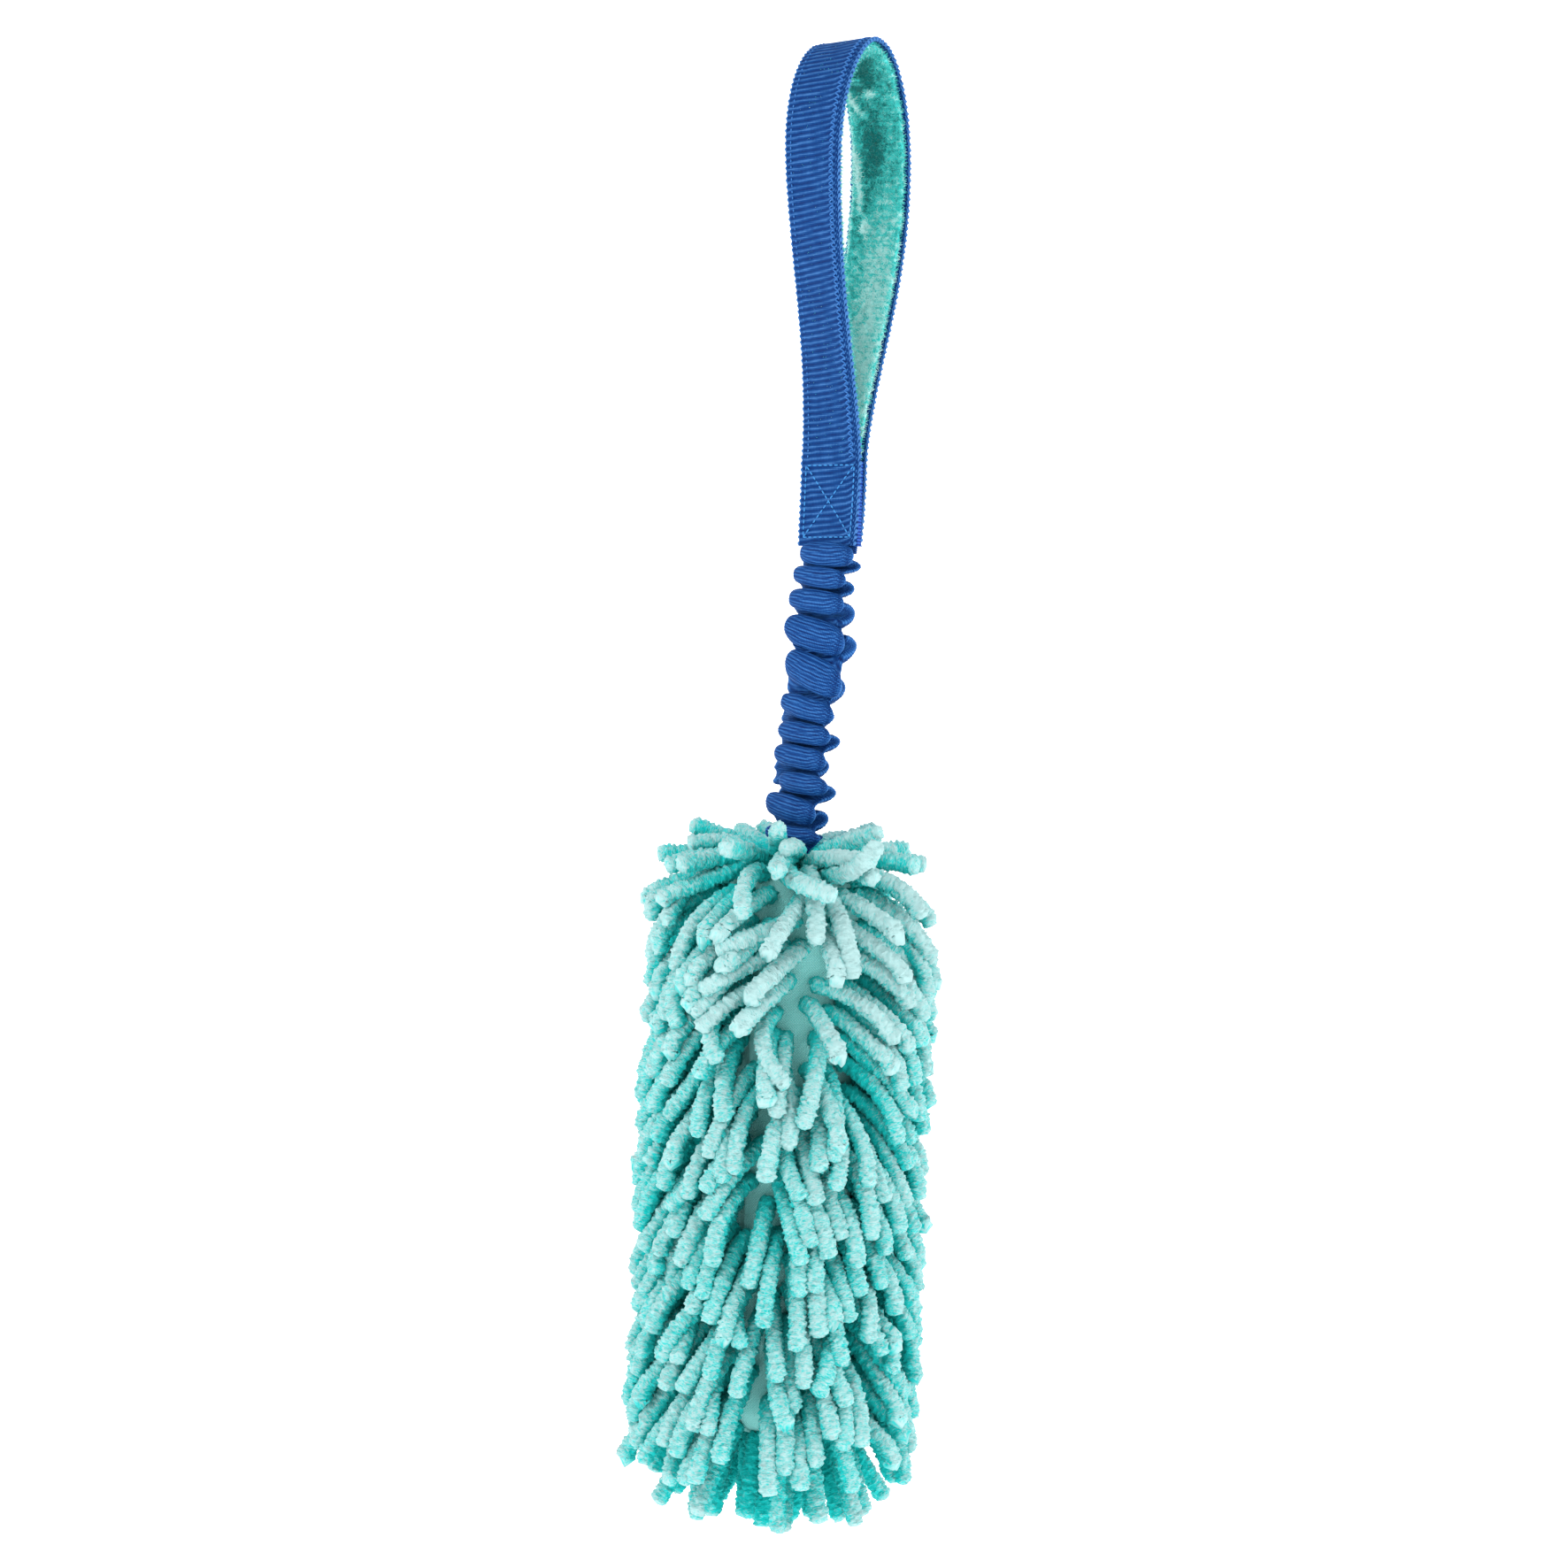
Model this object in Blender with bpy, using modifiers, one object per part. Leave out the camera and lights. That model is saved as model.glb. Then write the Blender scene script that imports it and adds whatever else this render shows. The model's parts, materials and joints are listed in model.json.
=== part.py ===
"""Bungee tug toy: a plush-lined webbing hand loop, a gathered elastic sleeve and a noodle mop head.

Metres, +Z up. The webbing's width runs along X and the loop's depth along Y. The toy hangs straight
down from the inner top of the loop, which is the origin.
"""

import math
import random

import bmesh
import bpy
from mathutils import Matrix, Vector

# Clearances
LAYER_GAP = 0.0003
CUT_OVERRUN = 0.002
WELD_DISTANCE = 0.00001

# Webbing and its plush lining
WEBBING_WIDTH = 0.025
WEBBING_THICKNESS = 0.0014
LINING_WIDTH = 0.0246
LINING_THICKNESS = 0.0022
LINING_TAPER_LENGTH = 0.028

# Hand loop, measured down from its outer top
LOOP_LENGTH = 0.159
LOOP_DEPTH = 0.0525
LOOP_CROWN_HEIGHT = 0.042
LOOP_BOW = 0.0028
# How the loop narrows to the box: the higher, the narrower its lower part
LOOP_CLOSING_POWER = 1.65
LOOP_SIDE_STEPS = 14
LOOP_CROWN_STEPS = 18

# Threads
LINING_STITCH_WIDTH = 0.0009
LINING_STITCH_INSET = 0.0027
BOX_STITCH_WIDTH = 0.0008
BOX_STITCH_SIDE_INSET = 0.0022
BOX_STITCH_END_INSET = 0.0016
THREAD_THICKNESS = 0.0004
SEAM_THREAD_DIAMETER = 0.0007
GATHER_THREAD_DIAMETER = 0.0012
CLOSING_THREAD_DIAMETER = 0.0013

# Sewn box under the loop, where both webbing ends, the sleeve and the elastic are stitched together
BOX_LENGTH = 0.032
SEWN_END_WIDTH = 0.0236
SLEEVE_WALL = 0.0006

# Elastic band inside the sleeve
ELASTIC_WIDTH = 0.010
ELASTIC_THICKNESS = 0.0008
ELASTIC_SEWN_LENGTH = 0.024
ELASTIC_NECK_LENGTH = 0.0045

# Gathered sleeve
SLEEVE_WIDTH = 0.0245
SLEEVE_DEPTH = 0.0140
SLEEVE_LENGTH = 0.110
SLEEVE_SPINE_WALL = 0.0011
SLEEVE_DRIFT = 0.0129
FOLD_TILT_SHARE = 0.10
# Where each front fold is centred, from the top of the sleeve to its bottom
FRONT_FOLD_SHARES = (0.030, 0.100, 0.172, 0.262, 0.385, 0.535, 0.635, 0.712, 0.800, 0.876, 0.958)
# One fold's outline: how far it stands out, and how high on the fold
FOLD_OUTLINE_SHARES = ((0.0, 0.60), (0.45, 0.88), (0.92, 0.52), (0.92, -0.52), (0.45, -0.88), (0.0, -0.60))
# Across the sleeve: place, how far the folds stand out there, and how high they are
FOLD_ACROSS_SHARES = (
    (-1.0, 0.45, 0.78),
    (-0.84, 0.90, 0.95),
    (0.0, 1.0, 1.0),
    (0.84, 0.90, 0.95),
    (1.0, 0.45, 0.78),
)

# Neck, where the sleeve narrows into the mop, and the tail sewn inside
NECK_LENGTH = 0.0083
NECK_TOP_WIDTH = 0.0225
NECK_TOP_DEPTH = 0.0068
NECK_BOTTOM_WIDTH = 0.0090
NECK_BOTTOM_DEPTH = 0.0042
NECK_SIDES = 16
NECK_STEPS = 3
BAR_TACK_WIDTH = 0.0080
BAR_TACK_DEPTH = 0.0034
BAR_TACK_HEIGHT = 0.0020
TAIL_WIDTH = 0.0140
TAIL_THICKNESS = 0.0024
TAIL_LENGTH = 0.0160

# Mop cover: a knitted backing gathered round the neck, closed at the bottom
COVER_RADIUS = 0.0262
COVER_WALL = 0.0012
COVER_LENGTH = 0.188
MOUTH_RADIUS = 0.0090
CROWN_HEIGHT = 0.017
BASE_HEIGHT = 0.011
BASE_HOLE_RADIUS = 0.0040
COVER_COLUMNS = 30
BAND_COUNT = 4
ROWS_PER_BAND = 4
# The rounded shoulder, from the mouth out and down: radius, and drop
SHOULDER_SHARES = ((0.0, 0.0), (0.436, 0.147), (0.785, 0.470), (1.0, 1.0))
# The rounded base, from the side in and down: radius, and drop
BASE_SHARES = ((1.0, 0.0), (0.835, 0.44), (0.52, 0.82), (0.0, 1.0))

# Noodles on the cover
NOODLE_WIDTH = 0.0056
NOODLE_TIP_WIDTH = 0.0042
NOODLE_UPPER_LENGTH = 0.0170
NOODLE_LOWER_LENGTH = 0.0235
CROWN_UPPER_LENGTH = 0.0160
CROWN_LOWER_LENGTH = 0.0195
NOODLE_DROOP_DEG = (-32.0, -60.0)
SHOULDER_DROOP_DEG = (-28.0, -53.0)
SHOULDER_FADE_ROWS = 1.6
# Rows on the crown and base: every so many columns, and the slopes of the noodle's two halves
CROWN_ROWS = ((5, 36.0, 14.0), (3, 2.0, -20.0), (2, -13.0, -34.0))
BASE_ROWS = ((2, -47.0, -68.0), (3, -61.0, -77.0), (5, -74.0, -83.0))
LENGTH_SPREAD_SHARE = 0.08
DROOP_SPREAD_DEG = 4.0
ELBOW_TURN_DEG = 1.2
TIP_TURN_DEG = 2.6
NOODLE_SEED = 7

# Places that follow from the sizes above
SEWN_END_THICKNESS = ELASTIC_THICKNESS + 2 * LAYER_GAP + 2 * SLEEVE_WALL
BOX_HALF_THICKNESS = SEWN_END_THICKNESS / 2 + LAYER_GAP + WEBBING_THICKNESS
LOOP_TOP_Z = WEBBING_THICKNESS + LAYER_GAP + LINING_THICKNESS
BOX_TOP_Z = LOOP_TOP_Z - LOOP_LENGTH
BOX_BOTTOM_Z = BOX_TOP_Z - BOX_LENGTH
SLEEVE_TOP_Z = BOX_BOTTOM_Z - LAYER_GAP
SLEEVE_BOTTOM_Z = SLEEVE_TOP_Z - SLEEVE_LENGTH
NECK_TOP_Z = SLEEVE_BOTTOM_Z - LAYER_GAP
MOUTH_Z = NECK_TOP_Z - NECK_LENGTH
SIDE_TOP_Z = MOUTH_Z - CROWN_HEIGHT
BASE_Z = SIDE_TOP_Z - COVER_LENGTH
FILLING_GAP = SEAM_THREAD_DIAMETER + 2 * LAYER_GAP
BOX_PIVOT = Vector((0.0, 0.0, BOX_BOTTOM_Z - LAYER_GAP / 2))
NECK_PIVOT = Vector((-SLEEVE_DRIFT, 0.0, MOUTH_Z))

# Colour, roughness
WEBBING_BLUE = ((0.017, 0.091, 0.429), 0.62)
PLUSH_TEAL = ((0.082, 0.604, 0.456), 0.92)
THREAD_BLUE = ((0.045, 0.266, 0.644), 0.55)
ELASTIC_NAVY = ((0.012, 0.024, 0.105), 0.75)
MOP_MINT = ((0.205, 0.723, 0.638), 0.95)
THREAD_MINT = ((0.120, 0.560, 0.500), 0.60)
FILLING_WHITE = ((0.86, 0.86, 0.84), 0.98)


def clear_scene():
    """Remove every object of the open scene."""
    for item in list(bpy.data.objects):
        bpy.data.objects.remove(item, do_unlink=True)


def make_collection(name):
    """Return a new collection linked to the scene."""
    collection = bpy.data.collections.new(name)
    bpy.context.scene.collection.children.link(collection)
    return collection


def make_material(name, finish):
    """Return a Principled material of one colour and roughness."""
    colour, roughness = finish
    material = bpy.data.materials.new(name)
    material.use_nodes = True
    shader = material.node_tree.nodes["Principled BSDF"]
    shader.inputs["Base Color"].default_value = (*colour, 1.0)
    shader.inputs["Roughness"].default_value = roughness
    shader.inputs["Metallic"].default_value = 0.0
    return material


clear_scene()
TOY = make_collection("bungee_tug_toy")
CUTTERS = make_collection("cutters")


def add_object(name, data, finish):
    """Link a sub-part to the toy's collection with a material of its own."""
    item = bpy.data.objects.new(name, data)
    data.materials.append(make_material(name, finish))
    TOY.objects.link(item)
    return item


def add_mesh(name, shape, finish):
    """Turn a bmesh into a sub-part."""
    bmesh.ops.recalc_face_normals(shape, faces=shape.faces)
    mesh = bpy.data.meshes.new(name)
    shape.to_mesh(mesh)
    shape.free()
    return add_object(name, mesh, finish)


def make_cutter(item):
    """Move an object to the cutters, drawn as wire and left out of renders."""
    TOY.objects.unlink(item)
    CUTTERS.objects.link(item)
    item.display_type = "WIRE"
    item.hide_render = True
    return item


def cut(item, cutter):
    """Take the cutter's volume out of the item."""
    modifier = item.modifiers.new("cut", "BOOLEAN")
    modifier.operation = "DIFFERENCE"
    modifier.solver = "EXACT"
    modifier.object = cutter


def add_pivot(name, place, parent=None):
    """Add the empty that carries the pieces of one moving body."""
    pivot = bpy.data.objects.new(name, None)
    pivot.location = place - (parent.matrix_world.translation if parent else Vector())
    pivot.parent = parent
    TOY.objects.link(pivot)
    bpy.context.view_layer.update()
    return pivot


def carry(pivot, *items):
    """Give items made in world coordinates to a pivot, so that their origin lies on its joint."""
    for item in items:
        item.data.transform(Matrix.Translation(-pivot.matrix_world.translation))
        item.parent = pivot


def add_box(name, size, centre, finish):
    """A plain block, width along X, depth along Y and height along Z."""
    shape = bmesh.new()
    bmesh.ops.create_cube(shape, size=1.0)
    bmesh.ops.scale(shape, vec=Vector(size), verts=shape.verts)
    bmesh.ops.translate(shape, vec=Vector(centre), verts=shape.verts)
    return add_mesh(name, shape, finish)


def add_strip(name, path, width, thickness, side, finish):
    """A flat band along a path, its width along X, thickened to one side of the path or evenly."""
    shape = bmesh.new()
    rows = [[shape.verts.new((x + end * width / 2, y, z)) for end in (-1, 1)] for x, y, z in path]
    for (a, b), (c, d) in zip(rows, rows[1:]):
        shape.faces.new((a, b, d, c))
    mesh = bpy.data.meshes.new(name)
    shape.to_mesh(mesh)
    shape.free()
    item = add_object(name, mesh, finish)
    shell = item.modifiers.new("thickness", "SOLIDIFY")
    shell.thickness = thickness
    shell.offset = side
    shell.use_even_offset = True
    return item


def loft(rings):
    """Join rings of equally many points into one closed shape."""
    shape = bmesh.new()
    rows = [[shape.verts.new(point) for point in ring] for ring in rings]
    count = len(rows[0])
    for upper, lower in zip(rows, rows[1:]):
        for n in range(count):
            shape.faces.new((upper[n], upper[(n + 1) % count], lower[(n + 1) % count], lower[n]))
    shape.faces.new(list(reversed(rows[0])))
    shape.faces.new(rows[-1])
    return shape


def add_ring(name, radius, diameter, centre, finish, around=24, section=8):
    """A closed ring of thread, flat on the XY plane."""
    bpy.ops.mesh.primitive_torus_add(
        major_segments=around,
        minor_segments=section,
        major_radius=radius,
        minor_radius=diameter / 2,
        location=centre,
    )
    item = bpy.context.object
    item.name = name
    for holder in list(item.users_collection):
        holder.objects.unlink(item)
    TOY.objects.link(item)
    item.data.materials.append(make_material(name, finish))
    item.data.shade_smooth()
    item.data.transform(Matrix.Translation(item.location))
    item.location = (0.0, 0.0, 0.0)
    return item


def smooth_share(share):
    """Ease a share in and out."""
    share = min(max(share, 0.0), 1.0)
    return share * share * (3.0 - 2.0 * share)


def bow(drop):
    """How far the loop's middle leans back, at a drop below its outer top."""
    return LOOP_BOW * math.sin(math.pi * min(drop / LOOP_LENGTH, 1.0)) ** 2


def half_depth(drop):
    """Half the loop's outer depth at a drop below its outer top."""
    if drop <= LOOP_CROWN_HEIGHT:
        rise_share = 1.0 - drop / LOOP_CROWN_HEIGHT
        return LOOP_DEPTH / 2 * math.sqrt(1.0 - rise_share**2)
    share = (drop - LOOP_CROWN_HEIGHT) / (LOOP_LENGTH - LOOP_CROWN_HEIGHT)
    closing_share = math.cos(math.pi / 2 * min(share, 1.0)) ** LOOP_CLOSING_POWER
    return BOX_HALF_THICKNESS + (LOOP_DEPTH / 2 - BOX_HALF_THICKNESS) * closing_share


def loop_stations(end_drop):
    """The loop's outer face as (drop, y, z, inward y, inward z), front end over the top to the back."""
    step = (end_drop - LOOP_CROWN_HEIGHT) / LOOP_SIDE_STEPS
    side = [LOOP_CROWN_HEIGHT + step * n for n in range(LOOP_SIDE_STEPS + 1)]
    points = [(drop, -half_depth(drop)) for drop in reversed(side)]
    for n in range(1, LOOP_CROWN_STEPS):
        angle = math.pi * n / LOOP_CROWN_STEPS
        points.append((LOOP_CROWN_HEIGHT * (1.0 - math.sin(angle)), -LOOP_DEPTH / 2 * math.cos(angle)))
    points += [(drop, half_depth(drop)) for drop in side]
    places = [Vector((y + bow(drop), LOOP_TOP_Z - drop)) for drop, y in points]
    stations = []
    for n, ((drop, _), place) in enumerate(zip(points, places)):
        along = places[min(n + 1, len(places) - 1)] - places[max(n - 1, 0)]
        along.normalize()
        stations.append((drop, place.x, place.y, along.y, -along.x))
    return stations


def webbing_path(offset, end_z, x=0.0):
    """The webbing's outer face moved inwards by an offset, down to a height in or above the box."""
    path = [
        Vector((x, y + offset * inward_y, z + offset * inward_z))
        for _, y, z, inward_y, inward_z in loop_stations(LOOP_LENGTH)
    ]
    if end_z < BOX_TOP_Z:
        front, back = path[0].copy(), path[-1].copy()
        front.z = back.z = end_z
        return [front, *path, back]
    return [point for point in path if point.z > end_z]


def lining_thickness(drop):
    """The plush is pressed thin where the loop closes on the box."""
    pressed = BOX_HALF_THICKNESS - WEBBING_THICKNESS - LAYER_GAP - LAYER_GAP / 2
    share = (LOOP_LENGTH - drop) / LINING_TAPER_LENGTH
    return pressed + (LINING_THICKNESS - pressed) * smooth_share(share)


def make_lining():
    """The plush strip inside the loop, thinner towards the box."""
    outer = WEBBING_THICKNESS + LAYER_GAP
    half = LINING_WIDTH / 2
    rings = []
    for drop, y, z, inward_y, inward_z in loop_stations(LOOP_LENGTH - LAYER_GAP):
        inner = outer + lining_thickness(drop)
        near = (y + outer * inward_y, z + outer * inward_z)
        far = (y + inner * inward_y, z + inner * inward_z)
        rings.append([(-half, *near), (half, *near), (half, *far), (-half, *far)])
    return add_mesh("handle_lining", loft(rings), PLUSH_TEAL)


def make_lining_stitches():
    """The two rows of thread that hold the lining along the webbing's edges."""
    reach = WEBBING_WIDTH / 2 - LINING_STITCH_INSET
    for name, side in (("lining_stitch_left", -1), ("lining_stitch_right", 1)):
        path = webbing_path(-LAYER_GAP, BOX_TOP_Z + LINING_STITCH_WIDTH, side * reach)
        add_strip(name, path, LINING_STITCH_WIDTH, THREAD_THICKNESS, 1.0, THREAD_BLUE)


def box_stitch_outlines():
    """The stitched rectangle and the four triangles between its sides and its cross."""
    wide = WEBBING_WIDTH / 2 - BOX_STITCH_SIDE_INSET
    tall = BOX_LENGTH / 2 - BOX_STITCH_END_INSET
    inner_wide = wide - BOX_STITCH_WIDTH
    inner_tall = tall - BOX_STITCH_WIDTH
    diagonal = math.hypot(inner_wide, inner_tall)
    beside = BOX_STITCH_WIDTH / 2 * diagonal / inner_tall
    above = BOX_STITCH_WIDTH / 2 * diagonal / inner_wide
    outlines = [[(-wide, -tall), (wide, -tall), (wide, tall), (-wide, tall)]]
    for side in (-1, 1):
        flat = side * inner_tall
        upright = side * inner_wide
        corner_x = inner_wide - beside
        corner_y = inner_tall - above
        outlines.append([(0.0, side * above), (corner_x, flat), (-corner_x, flat)])
        outlines.append([(side * beside, 0.0), (upright, corner_y), (upright, -corner_y)])
    return outlines


def make_box_stitches():
    """The box and cross of thread on both faces of the sewn box."""
    lift = BOX_HALF_THICKNESS + LAYER_GAP + THREAD_THICKNESS / 2
    for name, side in (("box_stitch_front", -1), ("box_stitch_back", 1)):
        curve = bpy.data.curves.new(name, "CURVE")
        curve.dimensions = "2D"
        curve.fill_mode = "BOTH"
        curve.extrude = THREAD_THICKNESS / 2
        for outline in box_stitch_outlines():
            spline = curve.splines.new("POLY")
            spline.points.add(len(outline) - 1)
            for point, (x, y) in zip(spline.points, outline):
                point.co = (x, y, 0.0, 1.0)
            spline.use_cyclic_u = True
        item = add_object(name, curve, THREAD_BLUE)
        item.rotation_euler = (math.pi / 2, 0.0, 0.0)
        item.location = (0.0, side * lift, (BOX_TOP_Z + BOX_BOTTOM_Z) / 2)


def make_sewn_end():
    """The sleeve's flat end and the elastic's upper end, sandwiched in the sewn box."""
    height = BOX_LENGTH - LAYER_GAP
    centre = (0.0, 0.0, BOX_BOTTOM_Z + height / 2)
    end = add_box("sleeve_sewn_end", (SEWN_END_WIDTH, SEWN_END_THICKNESS, height), centre, WEBBING_BLUE)
    slot_size = (
        ELASTIC_WIDTH + 2 * LAYER_GAP,
        ELASTIC_THICKNESS + 2 * LAYER_GAP,
        height + 2 * CUT_OVERRUN,
    )
    cut(end, make_cutter(add_box("sewn_end_slot", slot_size, centre, WEBBING_BLUE)))
    elastic_centre = (0.0, 0.0, BOX_BOTTOM_Z + ELASTIC_SEWN_LENGTH / 2)
    elastic_size = (ELASTIC_WIDTH, ELASTIC_THICKNESS, ELASTIC_SEWN_LENGTH)
    add_box("elastic_upper_end", elastic_size, elastic_centre, ELASTIC_NAVY)


def sway(z):
    """How far the sleeve has drifted sideways at a height, along a straight slant."""
    return -SLEEVE_DRIFT * (BOX_BOTTOM_Z - z) / (BOX_BOTTOM_Z - MOUTH_Z)


def elastic_path(top_z, bottom_z):
    """The two ends of a stretch down the middle of the sleeve."""
    return [Vector((sway(z), 0.0, z)) for z in (top_z, bottom_z)]


def fold_edges(centres):
    """Each fold's upper and lower edge, halfway to its neighbours."""
    middles = [(a + b) / 2 for a, b in zip(centres, centres[1:])]
    return list(zip([0.0, *middles], [*middles, 1.0]))


def fold_profile(edges, side):
    """One wall's outline down the sleeve: each point's reach, side, fold's middle and height on it."""
    profile = []
    for upper, lower in edges:
        middle = (upper + lower) / 2
        half = (lower - upper) / 2
        for out_share, height_share in FOLD_OUTLINE_SHARES:
            profile.append((side * out_share, side, middle, -half * height_share))
    return profile


def sleeve_section(profile, across, out_scale, height_scale):
    """The sleeve's outline at one place across its width."""
    spine = ELASTIC_THICKNESS / 2 + LAYER_GAP + SLEEVE_SPINE_WALL
    reach = SLEEVE_DEPTH / 2 - spine
    ring = []
    for out_share, side, middle, height in profile:
        share = middle + height * height_scale
        z = SLEEVE_TOP_Z - SLEEVE_LENGTH * share
        x = across * SLEEVE_WIDTH / 2
        tilt = FOLD_TILT_SHARE * math.sin(2 * math.pi * share) * math.sin(math.pi * share)
        ring.append((x + sway(z), side * spine + out_share * out_scale * reach, z + tilt * x))
    return ring


def make_sleeve():
    """The gathered sleeve, folded forwards and back by turns over the elastic band."""
    front = fold_edges(FRONT_FOLD_SHARES)
    back_centres = [(a + b) / 2 for a, b in zip(FRONT_FOLD_SHARES, FRONT_FOLD_SHARES[1:])]
    profile = fold_profile(front, -1) + list(reversed(fold_profile(fold_edges(back_centres), 1)))
    rings = [sleeve_section(profile, *shares) for shares in FOLD_ACROSS_SHARES]
    sleeve = add_mesh("bungee_sleeve", loft(rings), WEBBING_BLUE)
    slot = add_strip(
        "sleeve_slot",
        elastic_path(SLEEVE_TOP_Z + CUT_OVERRUN, SLEEVE_BOTTOM_Z - CUT_OVERRUN),
        ELASTIC_WIDTH + 2 * LAYER_GAP,
        ELASTIC_THICKNESS + 2 * LAYER_GAP,
        0.0,
        WEBBING_BLUE,
    )
    cut(sleeve, make_cutter(slot))
    path = elastic_path(SLEEVE_TOP_Z, SLEEVE_BOTTOM_Z)
    elastic = add_strip("elastic_band", path, ELASTIC_WIDTH, ELASTIC_THICKNESS, 0.0, ELASTIC_NAVY)
    return sleeve, elastic


def oval(width, depth, z):
    """A rounded flat section of the neck."""
    ring = []
    for n in range(NECK_SIDES):
        angle = 2 * math.pi * n / NECK_SIDES
        ring.append((sway(z) + width / 2 * math.cos(angle), depth / 2 * math.sin(angle), z))
    return ring


def make_neck():
    """The narrowing end of the sleeve, with the elastic's lower end in a pocket."""
    rings = []
    for n in range(NECK_STEPS + 1):
        share = n / NECK_STEPS
        width = NECK_TOP_WIDTH + (NECK_BOTTOM_WIDTH - NECK_TOP_WIDTH) * share
        depth = NECK_TOP_DEPTH + (NECK_BOTTOM_DEPTH - NECK_TOP_DEPTH) * share
        rings.append(oval(width, depth, NECK_TOP_Z - NECK_LENGTH * share + LAYER_GAP / 2 * share))
    neck = add_mesh("sleeve_neck", loft(rings), WEBBING_BLUE)
    bottom_z = NECK_TOP_Z - ELASTIC_NECK_LENGTH
    pocket = add_strip(
        "neck_pocket",
        elastic_path(NECK_TOP_Z + CUT_OVERRUN, bottom_z - LAYER_GAP),
        ELASTIC_WIDTH + 2 * LAYER_GAP,
        ELASTIC_THICKNESS + 2 * LAYER_GAP,
        0.0,
        WEBBING_BLUE,
    )
    cut(neck, make_cutter(pocket))
    path = elastic_path(NECK_TOP_Z, bottom_z)
    elastic = add_strip("elastic_lower_end", path, ELASTIC_WIDTH, ELASTIC_THICKNESS, 0.0, ELASTIC_NAVY)
    return neck, elastic


def make_bar_tack():
    """The dense stitching across the sleeve's end at the mouth of the mop."""
    size = (BAR_TACK_WIDTH, BAR_TACK_DEPTH, BAR_TACK_HEIGHT)
    top_z = MOUTH_Z - LAYER_GAP / 2
    return add_box("neck_bar_tack", size, (-SLEEVE_DRIFT, 0.0, top_z - BAR_TACK_HEIGHT / 2), THREAD_BLUE)


def make_tail(top_z):
    """The sleeve's sewn tail, inside the crown of the mop."""
    size = (TAIL_WIDTH, TAIL_THICKNESS, TAIL_LENGTH)
    return add_box("sleeve_sewn_tail", size, (-SLEEVE_DRIFT, 0.0, top_z - TAIL_LENGTH / 2), WEBBING_BLUE)


def shoulder_profile():
    """The crown's outer face from the mouth out and down to the side, as radius and height."""
    return [
        (MOUTH_RADIUS + (COVER_RADIUS - MOUTH_RADIUS) * out, MOUTH_Z - CROWN_HEIGHT * down)
        for out, down in SHOULDER_SHARES
    ]


def base_profile():
    """The base's outer face from the side in and down to its hole, as radius and height."""
    return [
        (BASE_HOLE_RADIUS + (COVER_RADIUS - BASE_HOLE_RADIUS) * out, BASE_Z - BASE_HEIGHT * down)
        for out, down in BASE_SHARES
    ]


def inset_profile(profile, distance):
    """A profile that runs down an outer face, moved inwards by a distance."""
    inset = []
    for n, (radius, z) in enumerate(profile):
        before = Vector(profile[max(n - 1, 0)])
        after = Vector(profile[min(n + 1, len(profile) - 1)])
        along = (after - before).normalized()
        inset.append((radius + distance * along.y, z - distance * along.x))
    return inset


def cover_point(radius, z, column):
    """A point on the cover, at a place counted in columns round the mop's axis."""
    angle = 2 * math.pi * column / COVER_COLUMNS
    return Vector((radius * math.cos(angle) - SLEEVE_DRIFT, radius * math.sin(angle), z))


def noodle_section(radius, z, column, slope, width):
    """The four corners of a noodle's cross-section, lower pair first."""
    angle = 2 * math.pi * column / COVER_COLUMNS
    outwards = Vector((math.cos(angle), math.sin(angle), 0.0))
    sideways = Vector((-math.sin(angle), math.cos(angle), 0.0))
    upwards = Vector((0.0, 0.0, math.cos(slope))) - outwards * math.sin(slope)
    centre = cover_point(radius, z, column)
    half = width / 2
    return [
        centre - sideways * half - upwards * half,
        centre + sideways * half - upwards * half,
        centre + sideways * half + upwards * half,
        centre - sideways * half + upwards * half,
    ]


def grow_noodle(shape, face, root, lengths, slopes, draw):
    """Draw one cell of the cover out into a noodle of two straight halves that stays in its own column."""
    radius, z, column = root
    stretch = 1.0 + draw.uniform(-LENGTH_SPREAD_SHARE, LENGTH_SPREAD_SHARE)
    tip = draw.uniform(-DROOP_SPREAD_DEG, DROOP_SPREAD_DEG)
    turns = (draw.uniform(-ELBOW_TURN_DEG, ELBOW_TURN_DEG), draw.uniform(-TIP_TURN_DEG, TIP_TURN_DEG))
    widths = (NOODLE_WIDTH, NOODLE_TIP_WIDTH)
    for length, slope_deg, turn, width in zip(lengths, slopes, turns, widths):
        slope = math.radians(slope_deg + tip)
        radius += length * stretch * math.cos(slope)
        z += length * stretch * math.sin(slope)
        corners = [vert.co.copy() for vert in face.verts]
        section = noodle_section(radius, z, column + turn * COVER_COLUMNS / 360.0, slope, width)
        face = bmesh.ops.extrude_discrete_faces(shape, faces=[face])["faces"][0]
        for vert in face.verts:
            nearest = min(range(len(corners)), key=lambda n: (corners[n] - vert.co).length)
            vert.co = section[nearest]
            corners[nearest] = Vector((math.inf, math.inf, math.inf))


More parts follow.
